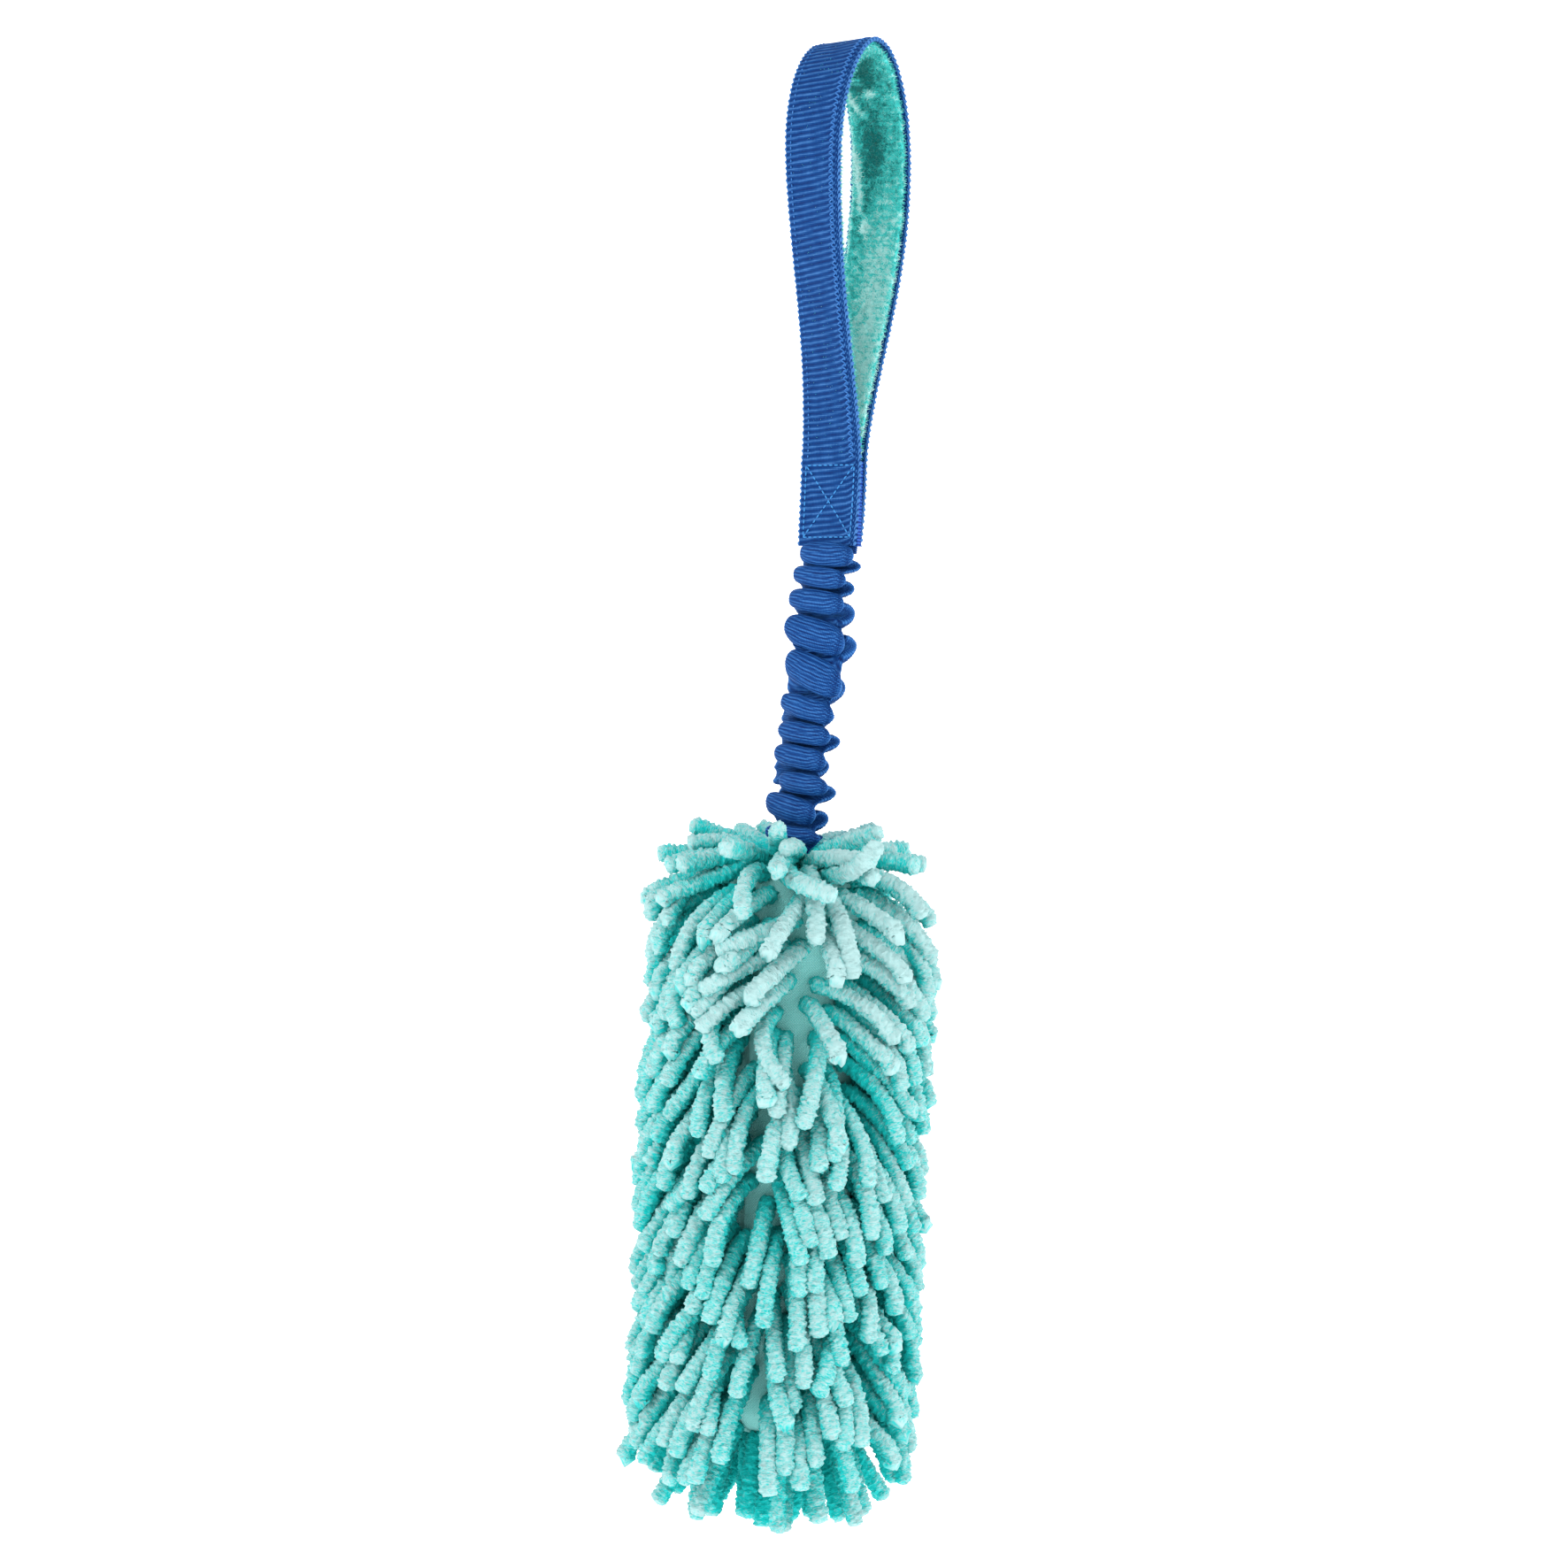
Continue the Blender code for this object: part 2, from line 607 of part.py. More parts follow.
def add_cover_slice(name, outer, inner, rows, draw):
    """A ring of backing from top to bottom with a row of noodles on each step of its outer face."""
    shape = bmesh.new()
    columns = range(COVER_COLUMNS)
    outside = [[shape.verts.new(cover_point(r, z, n)) for n in columns] for r, z in outer]
    inside = [[shape.verts.new(cover_point(r, z, n)) for n in columns] for r, z in inner]
    walls = list(zip(outside, outside[1:]))
    cells = {}
    for level, (upper, lower) in enumerate(walls):
        for n in columns:
            turn = (n + 1) % COVER_COLUMNS
            cells[level, n] = shape.faces.new((lower[n], lower[turn], upper[turn], upper[n]))
    rims = [(inside[0], outside[0]), (outside[-1], inside[-1])]
    for upper, lower in [*zip(inside[::-1], inside[-2::-1]), *rims]:
        for n in columns:
            turn = (n + 1) % COVER_COLUMNS
            shape.faces.new((lower[n], lower[turn], upper[turn], upper[n]))
    shape.faces.ensure_lookup_table()
    for level, (step, shift, lengths, slopes) in enumerate(rows):
        radius = (outer[level][0] + outer[level + 1][0]) / 2
        z = (outer[level][1] + outer[level + 1][1]) / 2
        for n in range(shift, COVER_COLUMNS, step):
            grow_noodle(shape, cells[level, n], (radius, z, n + 0.5), lengths, slopes, draw)
    return add_mesh(name, shape, MOP_MINT)


def side_slopes(row):
    """A side row's slopes: lifted near the shoulder, then a steady droop."""
    lift = math.exp(-row / SHOULDER_FADE_ROWS)
    return [low + (high - low) * lift for low, high in zip(NOODLE_DROOP_DEG, SHOULDER_DROOP_DEG)]


def make_cover():
    """The mop's cover in slices: a crown round the neck, bands down the side and a base."""
    draw = random.Random(NOODLE_SEED)
    crown_lengths = (CROWN_UPPER_LENGTH, CROWN_LOWER_LENGTH)
    side_lengths = (NOODLE_UPPER_LENGTH, NOODLE_LOWER_LENGTH)
    crown = shoulder_profile()
    crown_inner = inset_profile(crown, COVER_WALL)
    crown_inner[-1] = (COVER_RADIUS - COVER_WALL, SIDE_TOP_Z)
    crown_rows = [(step, 0, crown_lengths, slopes) for step, *slopes in CROWN_ROWS]
    slices = [add_cover_slice("mop_crown", crown, crown_inner, crown_rows, draw)]
    band_height = COVER_LENGTH / BAND_COUNT
    for band in range(BAND_COUNT):
        top = SIDE_TOP_Z - band * band_height - LAYER_GAP
        bottom = SIDE_TOP_Z - (band + 1) * band_height
        levels = [top + (bottom - top) * n / ROWS_PER_BAND for n in range(ROWS_PER_BAND + 1)]
        rows = []
        for n in range(ROWS_PER_BAND):
            row = band * ROWS_PER_BAND + n
            rows.append((2, (row + 1) % 2, side_lengths, side_slopes(row)))
        outer = [(COVER_RADIUS, z) for z in levels]
        inner = [(COVER_RADIUS - COVER_WALL, z) for z in (top, bottom)]
        slices.append(add_cover_slice(f"mop_band_{band + 1}", outer, inner, rows, draw))
    base = base_profile()
    base[0] = (COVER_RADIUS, BASE_Z - LAYER_GAP)
    base_inner = inset_profile(base, COVER_WALL)
    base_inner[0] = (COVER_RADIUS - COVER_WALL, BASE_Z - LAYER_GAP)
    base_rows = [(step, 1, crown_lengths, slopes) for step, *slopes in BASE_ROWS]
    slices.append(add_cover_slice("mop_base", base, base_inner, base_rows, draw))
    return slices


def make_filling(tail_top_z):
    """The stuffing, turned to the inside of the cover, with a pocket for the sleeve's tail."""
    inset = COVER_WALL + FILLING_GAP
    upper = inset_profile(shoulder_profile(), inset)
    lower = inset_profile(base_profile(), inset)
    side_radius = COVER_RADIUS - inset
    profile = [(0.0, upper[1][1]), upper[1], upper[2], (side_radius, SIDE_TOP_Z)]
    profile += [(side_radius, BASE_Z), lower[1], (0.0, lower[1][1])]
    curve_mesh = bpy.data.meshes.new("mop_filling")
    points = [(radius, 0.0, z) for radius, z in profile]
    curve_mesh.from_pydata(points, [(n, n + 1) for n in range(len(points) - 1)], [])
    filling = add_object("mop_filling", curve_mesh, FILLING_WHITE)
    turned = filling.modifiers.new("turned", "SCREW")
    turned.steps = turned.render_steps = 24
    turned.use_merge_vertices = True
    turned.merge_threshold = WELD_DISTANCE
    turned.use_smooth_shade = True
    pocket_size = (
        TAIL_WIDTH + 2 * LAYER_GAP,
        TAIL_THICKNESS + 2 * LAYER_GAP,
        TAIL_LENGTH + LAYER_GAP + CUT_OVERRUN,
    )
    pocket_centre = (0.0, 0.0, tail_top_z + CUT_OVERRUN - pocket_size[2] / 2)
    pocket = make_cutter(add_box("filling_pocket", pocket_size, pocket_centre, FILLING_WHITE))
    cut(filling, pocket)
    for item in (filling, pocket):
        item.data.transform(Matrix.Translation((0.0, 0.0, -MOUTH_Z)))
        item.location = NECK_PIVOT
    return filling


def make_seam_thread():
    """The seam that closes the cover into a tube, down its back between the backing and the filling."""
    shape = bmesh.new()
    length = COVER_LENGTH - 2 * LAYER_GAP
    bmesh.ops.create_cone(
        shape,
        cap_ends=True,
        segments=8,
        radius1=SEAM_THREAD_DIAMETER / 2,
        radius2=SEAM_THREAD_DIAMETER / 2,
        depth=length,
    )
    place_radius = COVER_RADIUS - COVER_WALL - LAYER_GAP - SEAM_THREAD_DIAMETER / 2
    middle_z = SIDE_TOP_Z - COVER_LENGTH / 2
    bmesh.ops.translate(shape, vec=Vector((-SLEEVE_DRIFT, place_radius, middle_z)), verts=shape.verts)
    return add_mesh("cover_seam_thread", shape, THREAD_MINT)


def make_mop_threads():
    """The ring that gathers the mouth and the ring that draws the base shut."""
    rim_radius, rim_z = inset_profile(shoulder_profile(), COVER_WALL)[0]
    mouth = (-SLEEVE_DRIFT, 0.0, (MOUTH_Z + rim_z) / 2)
    mouth_radius = rim_radius - LAYER_GAP - GATHER_THREAD_DIAMETER / 2
    gather = add_ring("mouth_gather_thread", mouth_radius, GATHER_THREAD_DIAMETER, mouth, THREAD_MINT)
    hole_rim_radius, hole_rim_z = inset_profile(base_profile(), COVER_WALL)[-1]
    hole = (-SLEEVE_DRIFT, 0.0, (BASE_Z - BASE_HEIGHT + hole_rim_z) / 2)
    hole_radius = hole_rim_radius - LAYER_GAP - CLOSING_THREAD_DIAMETER / 2
    closing = add_ring("base_closing_thread", hole_radius, CLOSING_THREAD_DIAMETER, hole, THREAD_MINT)
    return gather, closing


def main():
    """Build the toy from the hand loop down."""
    strap = webbing_path(0.0, BOX_BOTTOM_Z)
    add_strip("handle_webbing", strap, WEBBING_WIDTH, WEBBING_THICKNESS, -1.0, WEBBING_BLUE)
    make_lining()
    make_lining_stitches()
    make_box_stitches()
    make_sewn_end()

    bungee = add_pivot("bungee_pivot", BOX_PIVOT)
    carry(bungee, *make_sleeve(), bpy.data.objects["sleeve_slot"])

    neck = add_pivot("neck_slide", Vector((sway(NECK_TOP_Z), 0.0, NECK_TOP_Z)), bungee)
    carry(neck, *make_neck(), bpy.data.objects["neck_pocket"])

    collar = add_pivot("mop_swing_pivot", NECK_PIVOT, neck)
    carry(collar, make_bar_tack())

    mop = add_pivot("mop_sway_pivot", NECK_PIVOT, collar)
    tail_top_z = MOUTH_Z - LAYER_GAP / 2 - BAR_TACK_HEIGHT - LAYER_GAP
    carry(mop, make_tail(tail_top_z), make_seam_thread(), *make_mop_threads(), *make_cover())
    make_filling(tail_top_z)


main()
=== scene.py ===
"""The looks of a bungee tug toy: a lined webbing loop, a gathered elastic sleeve and a noodle mop head.

Metres, +Z up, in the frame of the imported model. The webbing's width runs along X.
"""

import json
import logging
import math
from dataclasses import dataclass, field
from enum import Enum

import bpy
import numpy as np
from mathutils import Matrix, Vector


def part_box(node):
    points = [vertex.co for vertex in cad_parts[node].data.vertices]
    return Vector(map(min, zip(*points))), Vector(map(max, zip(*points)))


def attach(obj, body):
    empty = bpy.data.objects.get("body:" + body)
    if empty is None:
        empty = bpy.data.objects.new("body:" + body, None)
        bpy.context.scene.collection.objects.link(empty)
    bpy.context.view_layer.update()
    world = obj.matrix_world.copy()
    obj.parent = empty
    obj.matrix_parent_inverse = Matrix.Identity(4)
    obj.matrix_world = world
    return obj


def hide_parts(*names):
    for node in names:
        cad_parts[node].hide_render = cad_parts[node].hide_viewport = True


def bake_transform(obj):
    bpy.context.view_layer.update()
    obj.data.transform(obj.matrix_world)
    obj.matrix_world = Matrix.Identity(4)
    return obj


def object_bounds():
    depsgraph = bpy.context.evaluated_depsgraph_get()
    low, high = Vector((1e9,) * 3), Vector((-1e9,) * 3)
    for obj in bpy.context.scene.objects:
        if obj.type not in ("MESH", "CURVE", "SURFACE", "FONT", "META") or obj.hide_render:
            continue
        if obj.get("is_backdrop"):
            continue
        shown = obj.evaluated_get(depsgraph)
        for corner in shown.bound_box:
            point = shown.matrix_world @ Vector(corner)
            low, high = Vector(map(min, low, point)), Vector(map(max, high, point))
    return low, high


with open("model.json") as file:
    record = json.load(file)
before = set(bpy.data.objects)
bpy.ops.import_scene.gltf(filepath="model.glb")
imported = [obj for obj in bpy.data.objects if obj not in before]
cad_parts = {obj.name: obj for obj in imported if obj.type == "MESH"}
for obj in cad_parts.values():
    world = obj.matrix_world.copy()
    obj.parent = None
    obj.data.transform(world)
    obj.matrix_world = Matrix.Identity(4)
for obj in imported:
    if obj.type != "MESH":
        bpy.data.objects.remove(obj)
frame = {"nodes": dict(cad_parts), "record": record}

CAD_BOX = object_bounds()
LOG = logging.getLogger("bungee_tug_toy")
MM = 0.001


class Body(Enum):
    """The moving bodies that pieces ride on."""

    HANDLE = "handle"
    BUNGEE = "bungee"
    NECK = "neck"
    COLLAR = "collar"
    MOP = "mop"


class Slot(Enum):
    """The record's material slots."""

    WEBBING = "webbing"
    PLUSH = "plush"
    BLUE_THREAD = "blue_thread"
    MINT_THREAD = "mint_thread"
    ELASTIC = "elastic"
    NOODLES = "mop_noodles"
    FILLING = "filling"


class Wiring:
    """Adds nodes to a shader or geometry tree and links them in one call."""

    def __init__(self, tree: bpy.types.NodeTree) -> None:
        """Keep the tree that nodes go into.

        Args:
            tree: The node tree to fill.
        """
        self.tree = tree

    def feed(self, socket: bpy.types.NodeSocket, value: object) -> None:
        """Link a socket to another, or set its value.

        Args:
            socket: The input to feed.
            value: An output socket, or a plain value.
        """
        if isinstance(value, bpy.types.NodeSocket):
            self.tree.links.new(value, socket)
        else:
            socket.default_value = value

    def add(self, kind: str, inputs: dict | None = None, **settings: object) -> bpy.types.Node:
        """Add a node.

        Args:
            kind: The node's type name.
            inputs: What its inputs take, by name or number.
            **settings: The node's own properties.

        Returns:
            The new node.
        """
        node = self.tree.nodes.new(kind)
        for name, value in settings.items():
            setattr(node, name, value)
        for key, value in (inputs or {}).items():
            self.feed(node.inputs[key], value)
        return node

    def maths(self, operation: str, *values: object) -> bpy.types.NodeSocket:
        """Work out one number from others.

        Args:
            operation: The Math node's operation.
            *values: Its operands, sockets or numbers.

        Returns:
            The result's socket.
        """
        node = self.add("ShaderNodeMath", operation=operation)
        for socket, value in zip(node.inputs, values):
            self.feed(socket, value)
        return node.outputs[0]

    def vectors(self, operation: str, *values: object) -> bpy.types.NodeSocket:
        """Work out a vector from others.

        Args:
            operation: The Vector Math node's operation; SCALE takes a vector and a number.
            *values: Its operands, sockets or values.

        Returns:
            The result's socket.
        """
        node = self.add("ShaderNodeVectorMath", operation=operation)
        sockets = [node.inputs[0], node.inputs["Scale"]] if operation == "SCALE" else node.inputs
        for socket, value in zip(sockets, values):
            self.feed(socket, value)
        return node.outputs[0]

    def wave(self, phase: object, sharpness: float = 1.0) -> bpy.types.NodeSocket:
        """A wave from 0 to 1 that crests at each whole number.

        Args:
            phase: The place along it, counted in waves.
            sharpness: Above 1, the crests are narrower than the troughs.

        Returns:
            The wave's height socket.
        """
        turn = self.maths("MULTIPLY", phase, math.tau)
        lifted = self.maths("MULTIPLY_ADD", self.maths("COSINE", turn), 0.5, 0.5)
        return self.maths("POWER", lifted, sharpness)

    def step(self, value: object, low: float, high: float) -> bpy.types.NodeSocket:
        """Ease from 0 to 1 as a value goes from low to high.

        Args:
            value: The value's socket.
            low: Where the step starts.
            high: Where it ends.

        Returns:
            The step's socket.
        """
        node = self.add(
            "ShaderNodeMapRange",
            {"Value": value, "From Min": low, "From Max": high},
            interpolation_type="SMOOTHSTEP",
        )
        return node.outputs[0]

    def mix(self, share: object, first: object, second: object) -> bpy.types.NodeSocket:
        """Blend two colours.

        Args:
            share: How much of the second there is.
            first: A colour or its socket.
            second: A colour or its socket.

        Returns:
            The blended colour's socket.
        """
        node = self.add("ShaderNodeMix", data_type="RGBA")
        for number, value in ((0, share), (6, first), (7, second)):
            if not isinstance(value, bpy.types.NodeSocket) and number:
                value = (*value, 1.0)
            self.feed(node.inputs[number], value)
        return node.outputs[2]

    def attribute(self, name: str) -> bpy.types.Node:
        """Read an attribute of the mesh, in a shader tree."""
        return self.add("ShaderNodeAttribute", attribute_name=name)

    def named(self, name: str, kind: str = "FLOAT") -> bpy.types.NodeSocket:
        """Read an attribute of the points, in a geometry tree."""
        node = self.add("GeometryNodeInputNamedAttribute", {"Name": name}, data_type=kind)
        return node.outputs[0]

    def store(self, geometry: object, name: str, value: object, kind: str = "FLOAT") -> bpy.types.NodeSocket:
        """Write an attribute on the points, in a geometry tree.

        Args:
            geometry: The geometry's socket.
            name: The attribute's name.
            value: What each point gets.
            kind: The attribute's data type.

        Returns:
            The geometry's socket with the attribute.
        """
        inputs = {"Geometry": geometry, "Name": name, "Value": value}
        node = self.add("GeometryNodeStoreNamedAttribute", inputs, data_type=kind, domain="POINT")
        return node.outputs[0]

    def noise(self, place: object, scale: object, detail: float = 2.0) -> bpy.types.NodeSocket:
        """A smooth random value, mostly from 0.3 to 0.7.

        Args:
            place: The place to read it at.
            scale: Features to a unit of length.
            detail: How many finer layers it has.

        Returns:
            The value's socket.
        """
        inputs = {"Vector": place, "Scale": scale, "Detail": detail}
        return self.add("ShaderNodeTexNoise", inputs).outputs[0]


@dataclass(frozen=True)
class Finish:
    """What every finish has: its colours from deep to raised, and how it shines; on the woven, plush and
    chenille finishes these colours also paint shade into deep places and light onto raised ones.
    """

    name: str
    deep: tuple[float, float, float]
    middle: tuple[float, float, float]
    raised: tuple[float, float, float]
    roughness: float = 0.8
    sheen: float = 0.0
    sheen_tint: tuple[float, float, float] = (1.0, 1.0, 1.0)

    def relief(self, wiring: Wiring) -> tuple[object, object, float]:
        """What the surface's colour and bump follow.

        Args:
            wiring: The material's tree.

        Returns:
            The colour's share from 0 to 1, the bump's height, and the bump's depth in metres.
        """
        place = wiring.add("ShaderNodeTexCoord").outputs["Object"]
        grain = wiring.noise(place, 1500.0)
        return grain, grain, 0.05 * MM

    def material(self) -> bpy.types.Material:
        """Return the finish as a material, made on first use."""
        found = bpy.data.materials.get(self.name)
        if found:
            return found
        made = bpy.data.materials.new(self.name)
        made.use_nodes = True
        wiring = Wiring(made.node_tree)
        shader = made.node_tree.nodes["Principled BSDF"]
        share, height, depth = self.relief(wiring)
        lower = wiring.mix(wiring.step(share, 0.0, 0.5), self.deep, self.middle)
        colour = wiring.mix(wiring.step(share, 0.5, 1.0), lower, self.raised)
        bump = wiring.add("ShaderNodeBump", {"Height": height, "Distance": depth, "Strength": 1.0})
        wiring.feed(shader.inputs["Base Color"], colour)
        wiring.feed(shader.inputs["Normal"], bump.outputs[0])
        shader.inputs["Roughness"].default_value = self.roughness
        shader.inputs["Sheen Weight"].default_value = self.sheen
        shader.inputs["Sheen Roughness"].default_value = 0.5
        shader.inputs["Sheen Tint"].default_value = (*self.sheen_tint, 1.0)
        shader.inputs["Specular IOR Level"].default_value = 0.12
        return made


class Recipe(Wiring):
    """A Geometry Nodes tree with named sizes, run on a seed mesh to make a plain mesh."""

    def __init__(self, name: str, sizes: dict[str, float]) -> None:
        """Start the tree with its inputs.

        Args:
            name: The tree's name.
            sizes: Each input's name and default; a whole number makes a counting input.
        """
        tree = bpy.data.node_groups.new(name, "GeometryNodeTree")
        super().__init__(tree)
        tree.interface.new_socket("Geometry", in_out="INPUT", socket_type="NodeSocketGeometry")
        tree.interface.new_socket("Material", in_out="INPUT", socket_type="NodeSocketMaterial")
        for label, value in sizes.items():
            kind = "NodeSocketInt" if isinstance(value, int) else "NodeSocketFloat"
            socket = tree.interface.new_socket(label, in_out="INPUT", socket_type=kind)
            socket.default_value = value
        tree.interface.new_socket("Geometry", in_out="OUTPUT", socket_type="NodeSocketGeometry")
        self.entry = self.add("NodeGroupInput")
        self.build(self.entry.outputs["Geometry"])

    def build(self, geometry: bpy.types.NodeSocket) -> None:
        """Add the recipe's own nodes; each recipe has its own."""
        raise NotImplementedError

    def size(self, label: str) -> bpy.types.NodeSocket:
        """The socket of a named size."""
        return self.entry.outputs[label]

    def move(self, geometry: object, place: object = None, offset: object = None) -> bpy.types.NodeSocket:
        """Place points, or shift them.

        Args:
            geometry: The geometry's socket.
            place: Where each point goes, or None.
            offset: How far each is shifted, or None.

        Returns:
            The moved geometry's socket.
        """
        inputs = {"Geometry": geometry}
        if place is not None:
            inputs["Position"] = place
        if offset is not None:
            inputs["Offset"] = offset
        return self.add("GeometryNodeSetPosition", inputs).outputs[0]

    def close(self, geometry: object) -> None:
        """End the tree: real geometry, smooth shading and the material."""
        real = self.add("GeometryNodeRealizeInstances", {0: geometry}).outputs[0]
        smooth = self.add("GeometryNodeSetShadeSmooth", {"Geometry": real}).outputs[0]
        inputs = {"Geometry": smooth, "Material": self.size("Material")}
        dressed = self.add("GeometryNodeSetMaterial", inputs).outputs[0]
        self.add("NodeGroupOutput", {0: dressed})

    def make(self, name: str, seed: bpy.types.Mesh, finish: Finish, **sizes: float) -> bpy.types.Object:
        """Run the tree and keep its result as a plain mesh.

        Args:
            name: The new piece's name.
            seed: The mesh that the tree starts from.
            finish: The piece's finish.
            **sizes: Values for the named inputs, with underscores for spaces.

        Returns:
            The new piece.
        """
        source = bpy.data.objects.new(f"{name}_seed", seed)
        bpy.context.scene.collection.objects.link(source)
        modifier = source.modifiers.new(self.tree.name, "NODES")
        modifier.node_group = self.tree
        values = {"Material": finish.material()}
        values.update({key.replace("_", " ").title(): value for key, value in sizes.items()})
        for item in self.tree.interface.items_tree:
            if item.in_out == "INPUT" and item.name in values:
                modifier[item.identifier] = values.pop(item.name)
        if values:
            raise KeyError(f"{self.tree.name} has no input named {sorted(values)}")
        graph = bpy.context.evaluated_depsgraph_get()
        mesh = bpy.data.meshes.new_from_object(source.evaluated_get(graph))
        mesh.name = name
        bpy.data.objects.remove(source)
        piece = bpy.data.objects.new(name, mesh)
        bpy.context.scene.collection.objects.link(piece)
        return piece


class StripRecipe(Recipe):
    """A woven strip swept along a ribbon, with ribs across it and a stippled selvedge."""

    def __init__(self) -> None:
        """Name the strip's sizes."""
        sizes = {
            "Step": 0.5 * MM,
            "Width": 25.0 * MM,
            "Thickness": 1.4 * MM,
            "Squareness": 0.4,
            "Sides": 64,
            "Rib Pitch": 2.3 * MM,
            "Rib Height": 0.0,
            "Rib Sharpness": 1.5,
            "Rib Bow": 0.0,
            "Rib Skew": 0.0,
            "Rib Droop": 0.0,
            "Rib Waver": 0.5,
            "Bead": 0.0,
            "Selvedge Left": 0.0,
            "Selvedge Right": 0.0,
            "Selvedge Blend": 0.8 * MM,
            "Lump Size": 6.0 * MM,
            "Lump Height": 0.0,
        }
        super().__init__("woven_strip", sizes)

    def rounded(self, value: object, power: object) -> bpy.types.NodeSocket:
        """Raise a value to a power and keep its sign."""
        raised = self.maths("POWER", self.maths("ABSOLUTE", value), power)
        return self.maths("MULTIPLY", raised, self.maths("SIGN", value))

    def section(self) -> bpy.types.NodeSocket:
        """The rounded flat section, with each point's place and direction as attributes.

        Returns:
            The section curve's socket.
        """
        inputs = {"Resolution": self.size("Sides"), "Radius": 1.0}
        circle = self.add("GeometryNodeCurvePrimitiveCircle", inputs)
        place = self.add("ShaderNodeSeparateXYZ", {0: self.add("GeometryNodeInputPosition").outputs[0]})
        lean = self.maths("SUBTRACT", 2.0, self.size("Squareness"))
        curve = circle.outputs[0]
        facing = []
        for axis, size, name in ((0, "Width", "across"), (1, "Thickness", "outward")):
            half = self.maths("MULTIPLY", self.size(size), 0.5)
            spot = self.maths("MULTIPLY", self.rounded(place.outputs[axis], self.size("Squareness")), half)
            facing.append(self.maths("DIVIDE", self.rounded(place.outputs[axis], lean), half))
            curve = self.store(curve, name, spot)
        direction = self.add("ShaderNodeCombineXYZ", {0: facing[0], 1: facing[1]}).outputs[0]
        return self.store(curve, "facing", self.vectors("NORMALIZE", direction), "FLOAT_VECTOR")

    def ribs(self) -> bpy.types.NodeSocket:
        """The height of the weave, from 0 to 1: ribs across the strip, and loops at its edges.

        Returns:
            The height's socket.
        """
        across = self.named("across")
        bowed = self.maths("MULTIPLY", self.maths("MULTIPLY", across, across), self.size("Rib Bow"))
        right = self.maths("MAXIMUM", across, 0.0)
        droop = self.maths("MULTIPLY", self.maths("POWER", right, 3.0), self.size("Rib Droop"))
        bowed = self.maths("ADD", bowed, self.maths("MULTIPLY_ADD", across, self.size("Rib Skew"), droop))
        phase = self.maths("DIVIDE", self.maths("ADD", self.named("along"), bowed), self.size("Rib Pitch"))
        waver = self.noise(self.add("GeometryNodeInputPosition").outputs[0], 170.0, 2.0)
        phase = self.maths("MULTIPLY_ADD", self.maths("SUBTRACT", waver, 0.5), self.size("Rib Waver"), phase)
        main = self.wave(phase, self.size("Rib Sharpness"))
        fine = self.wave(self.maths("MULTIPLY_ADD", phase, 2.0, 0.5), 1.4)
        rib = self.maths("MULTIPLY_ADD", fine, 0.26, self.maths("MULTIPLY", main, 0.74))
        column = self.maths("DIVIDE", across, 1.5 * MM)
        slanted = self.wave(self.maths("ADD", phase, column), 1.0)
        loops = self.maths("MULTIPLY", slanted, self.wave(self.maths("SUBTRACT", phase, column), 0.7))
        half = self.maths("MULTIPLY", self.size("Width"), 0.5)
        left = self.maths("SUBTRACT", self.maths("SUBTRACT", self.size("Selvedge Left"), half), across)
        right = self.maths("ADD", self.maths("SUBTRACT", self.size("Selvedge Right"), half), across)
        beyond = self.maths("DIVIDE", self.maths("MAXIMUM", left, right), self.size("Selvedge Blend"))
        share = self.step(beyond, 0.0, 1.0)
        edge = self.maths("SUBTRACT", self.maths("ABSOLUTE", across), self.maths("SUBTRACT", half, 0.7 * MM))
        bead = self.wave(self.maths("ADD", phase, 0.4), 0.7)
        bead = self.maths("MULTIPLY", bead, self.step(edge, 0.0, 0.6 * MM))
        woven = self.maths("ADD", rib, self.maths("MULTIPLY", share, self.maths("SUBTRACT", loops, rib)))
        return self.maths("MULTIPLY_ADD", bead, self.size("Bead"), woven)

    def build(self, geometry: bpy.types.NodeSocket) -> None:
        """Sweep the section along the ribbon and raise the weave."""
        curve = self.add("GeometryNodeMeshToCurve", {0: geometry}).outputs[0]
        inputs = {"Curve": curve, "Length": self.size("Step")}
        curve = self.add("GeometryNodeResampleCurve", inputs, mode="LENGTH").outputs[0]
        place = self.add("GeometryNodeInputPosition").outputs[0]
        curve = self.store(curve, "centre", place, "FLOAT_VECTOR")
        curve = self.store(curve, "along", self.add("GeometryNodeSplineParameter").outputs["Length"])
        inputs = {"Curve": curve, "Profile Curve": self.section(), "Fill Caps": True}
        strip = self.add("GeometryNodeCurveToMesh", inputs).outputs[0]
        facing = self.add("ShaderNodeSeparateXYZ", {0: self.named("facing", "FLOAT_VECTOR")})
        wide, thick = (self.named(name, "FLOAT_VECTOR") for name in ("wide_axis", "thick_axis"))
        out = self.vectors(
            "ADD",
            self.vectors("SCALE", self.vectors("NORMALIZE", wide), facing.outputs[0]),
            self.vectors("SCALE", self.vectors("NORMALIZE", thick), facing.outputs[1]),
        )
        flat = self.vectors(
            "ADD",
            self.vectors("SCALE", wide, self.named("across")),
            self.vectors("SCALE", thick, self.named("outward")),
        )
        strip = self.move(strip, place=self.vectors("ADD", self.named("centre", "FLOAT_VECTOR"), flat))
        strip = self.store(strip, "ridge", self.ribs())
        lump = self.noise(place, self.maths("DIVIDE", 1.0, self.size("Lump Size")), 1.0)
        rise = self.maths("MULTIPLY", self.maths("SUBTRACT", lump, 0.5), self.size("Lump Height"))
        weave = self.maths("SUBTRACT", self.named("ridge"), 0.5)
        weave = self.maths("MULTIPLY", weave, self.size("Rib Height"))
        self.close(self.move(strip, offset=self.vectors("SCALE", out, self.maths("ADD", rise, weave))))


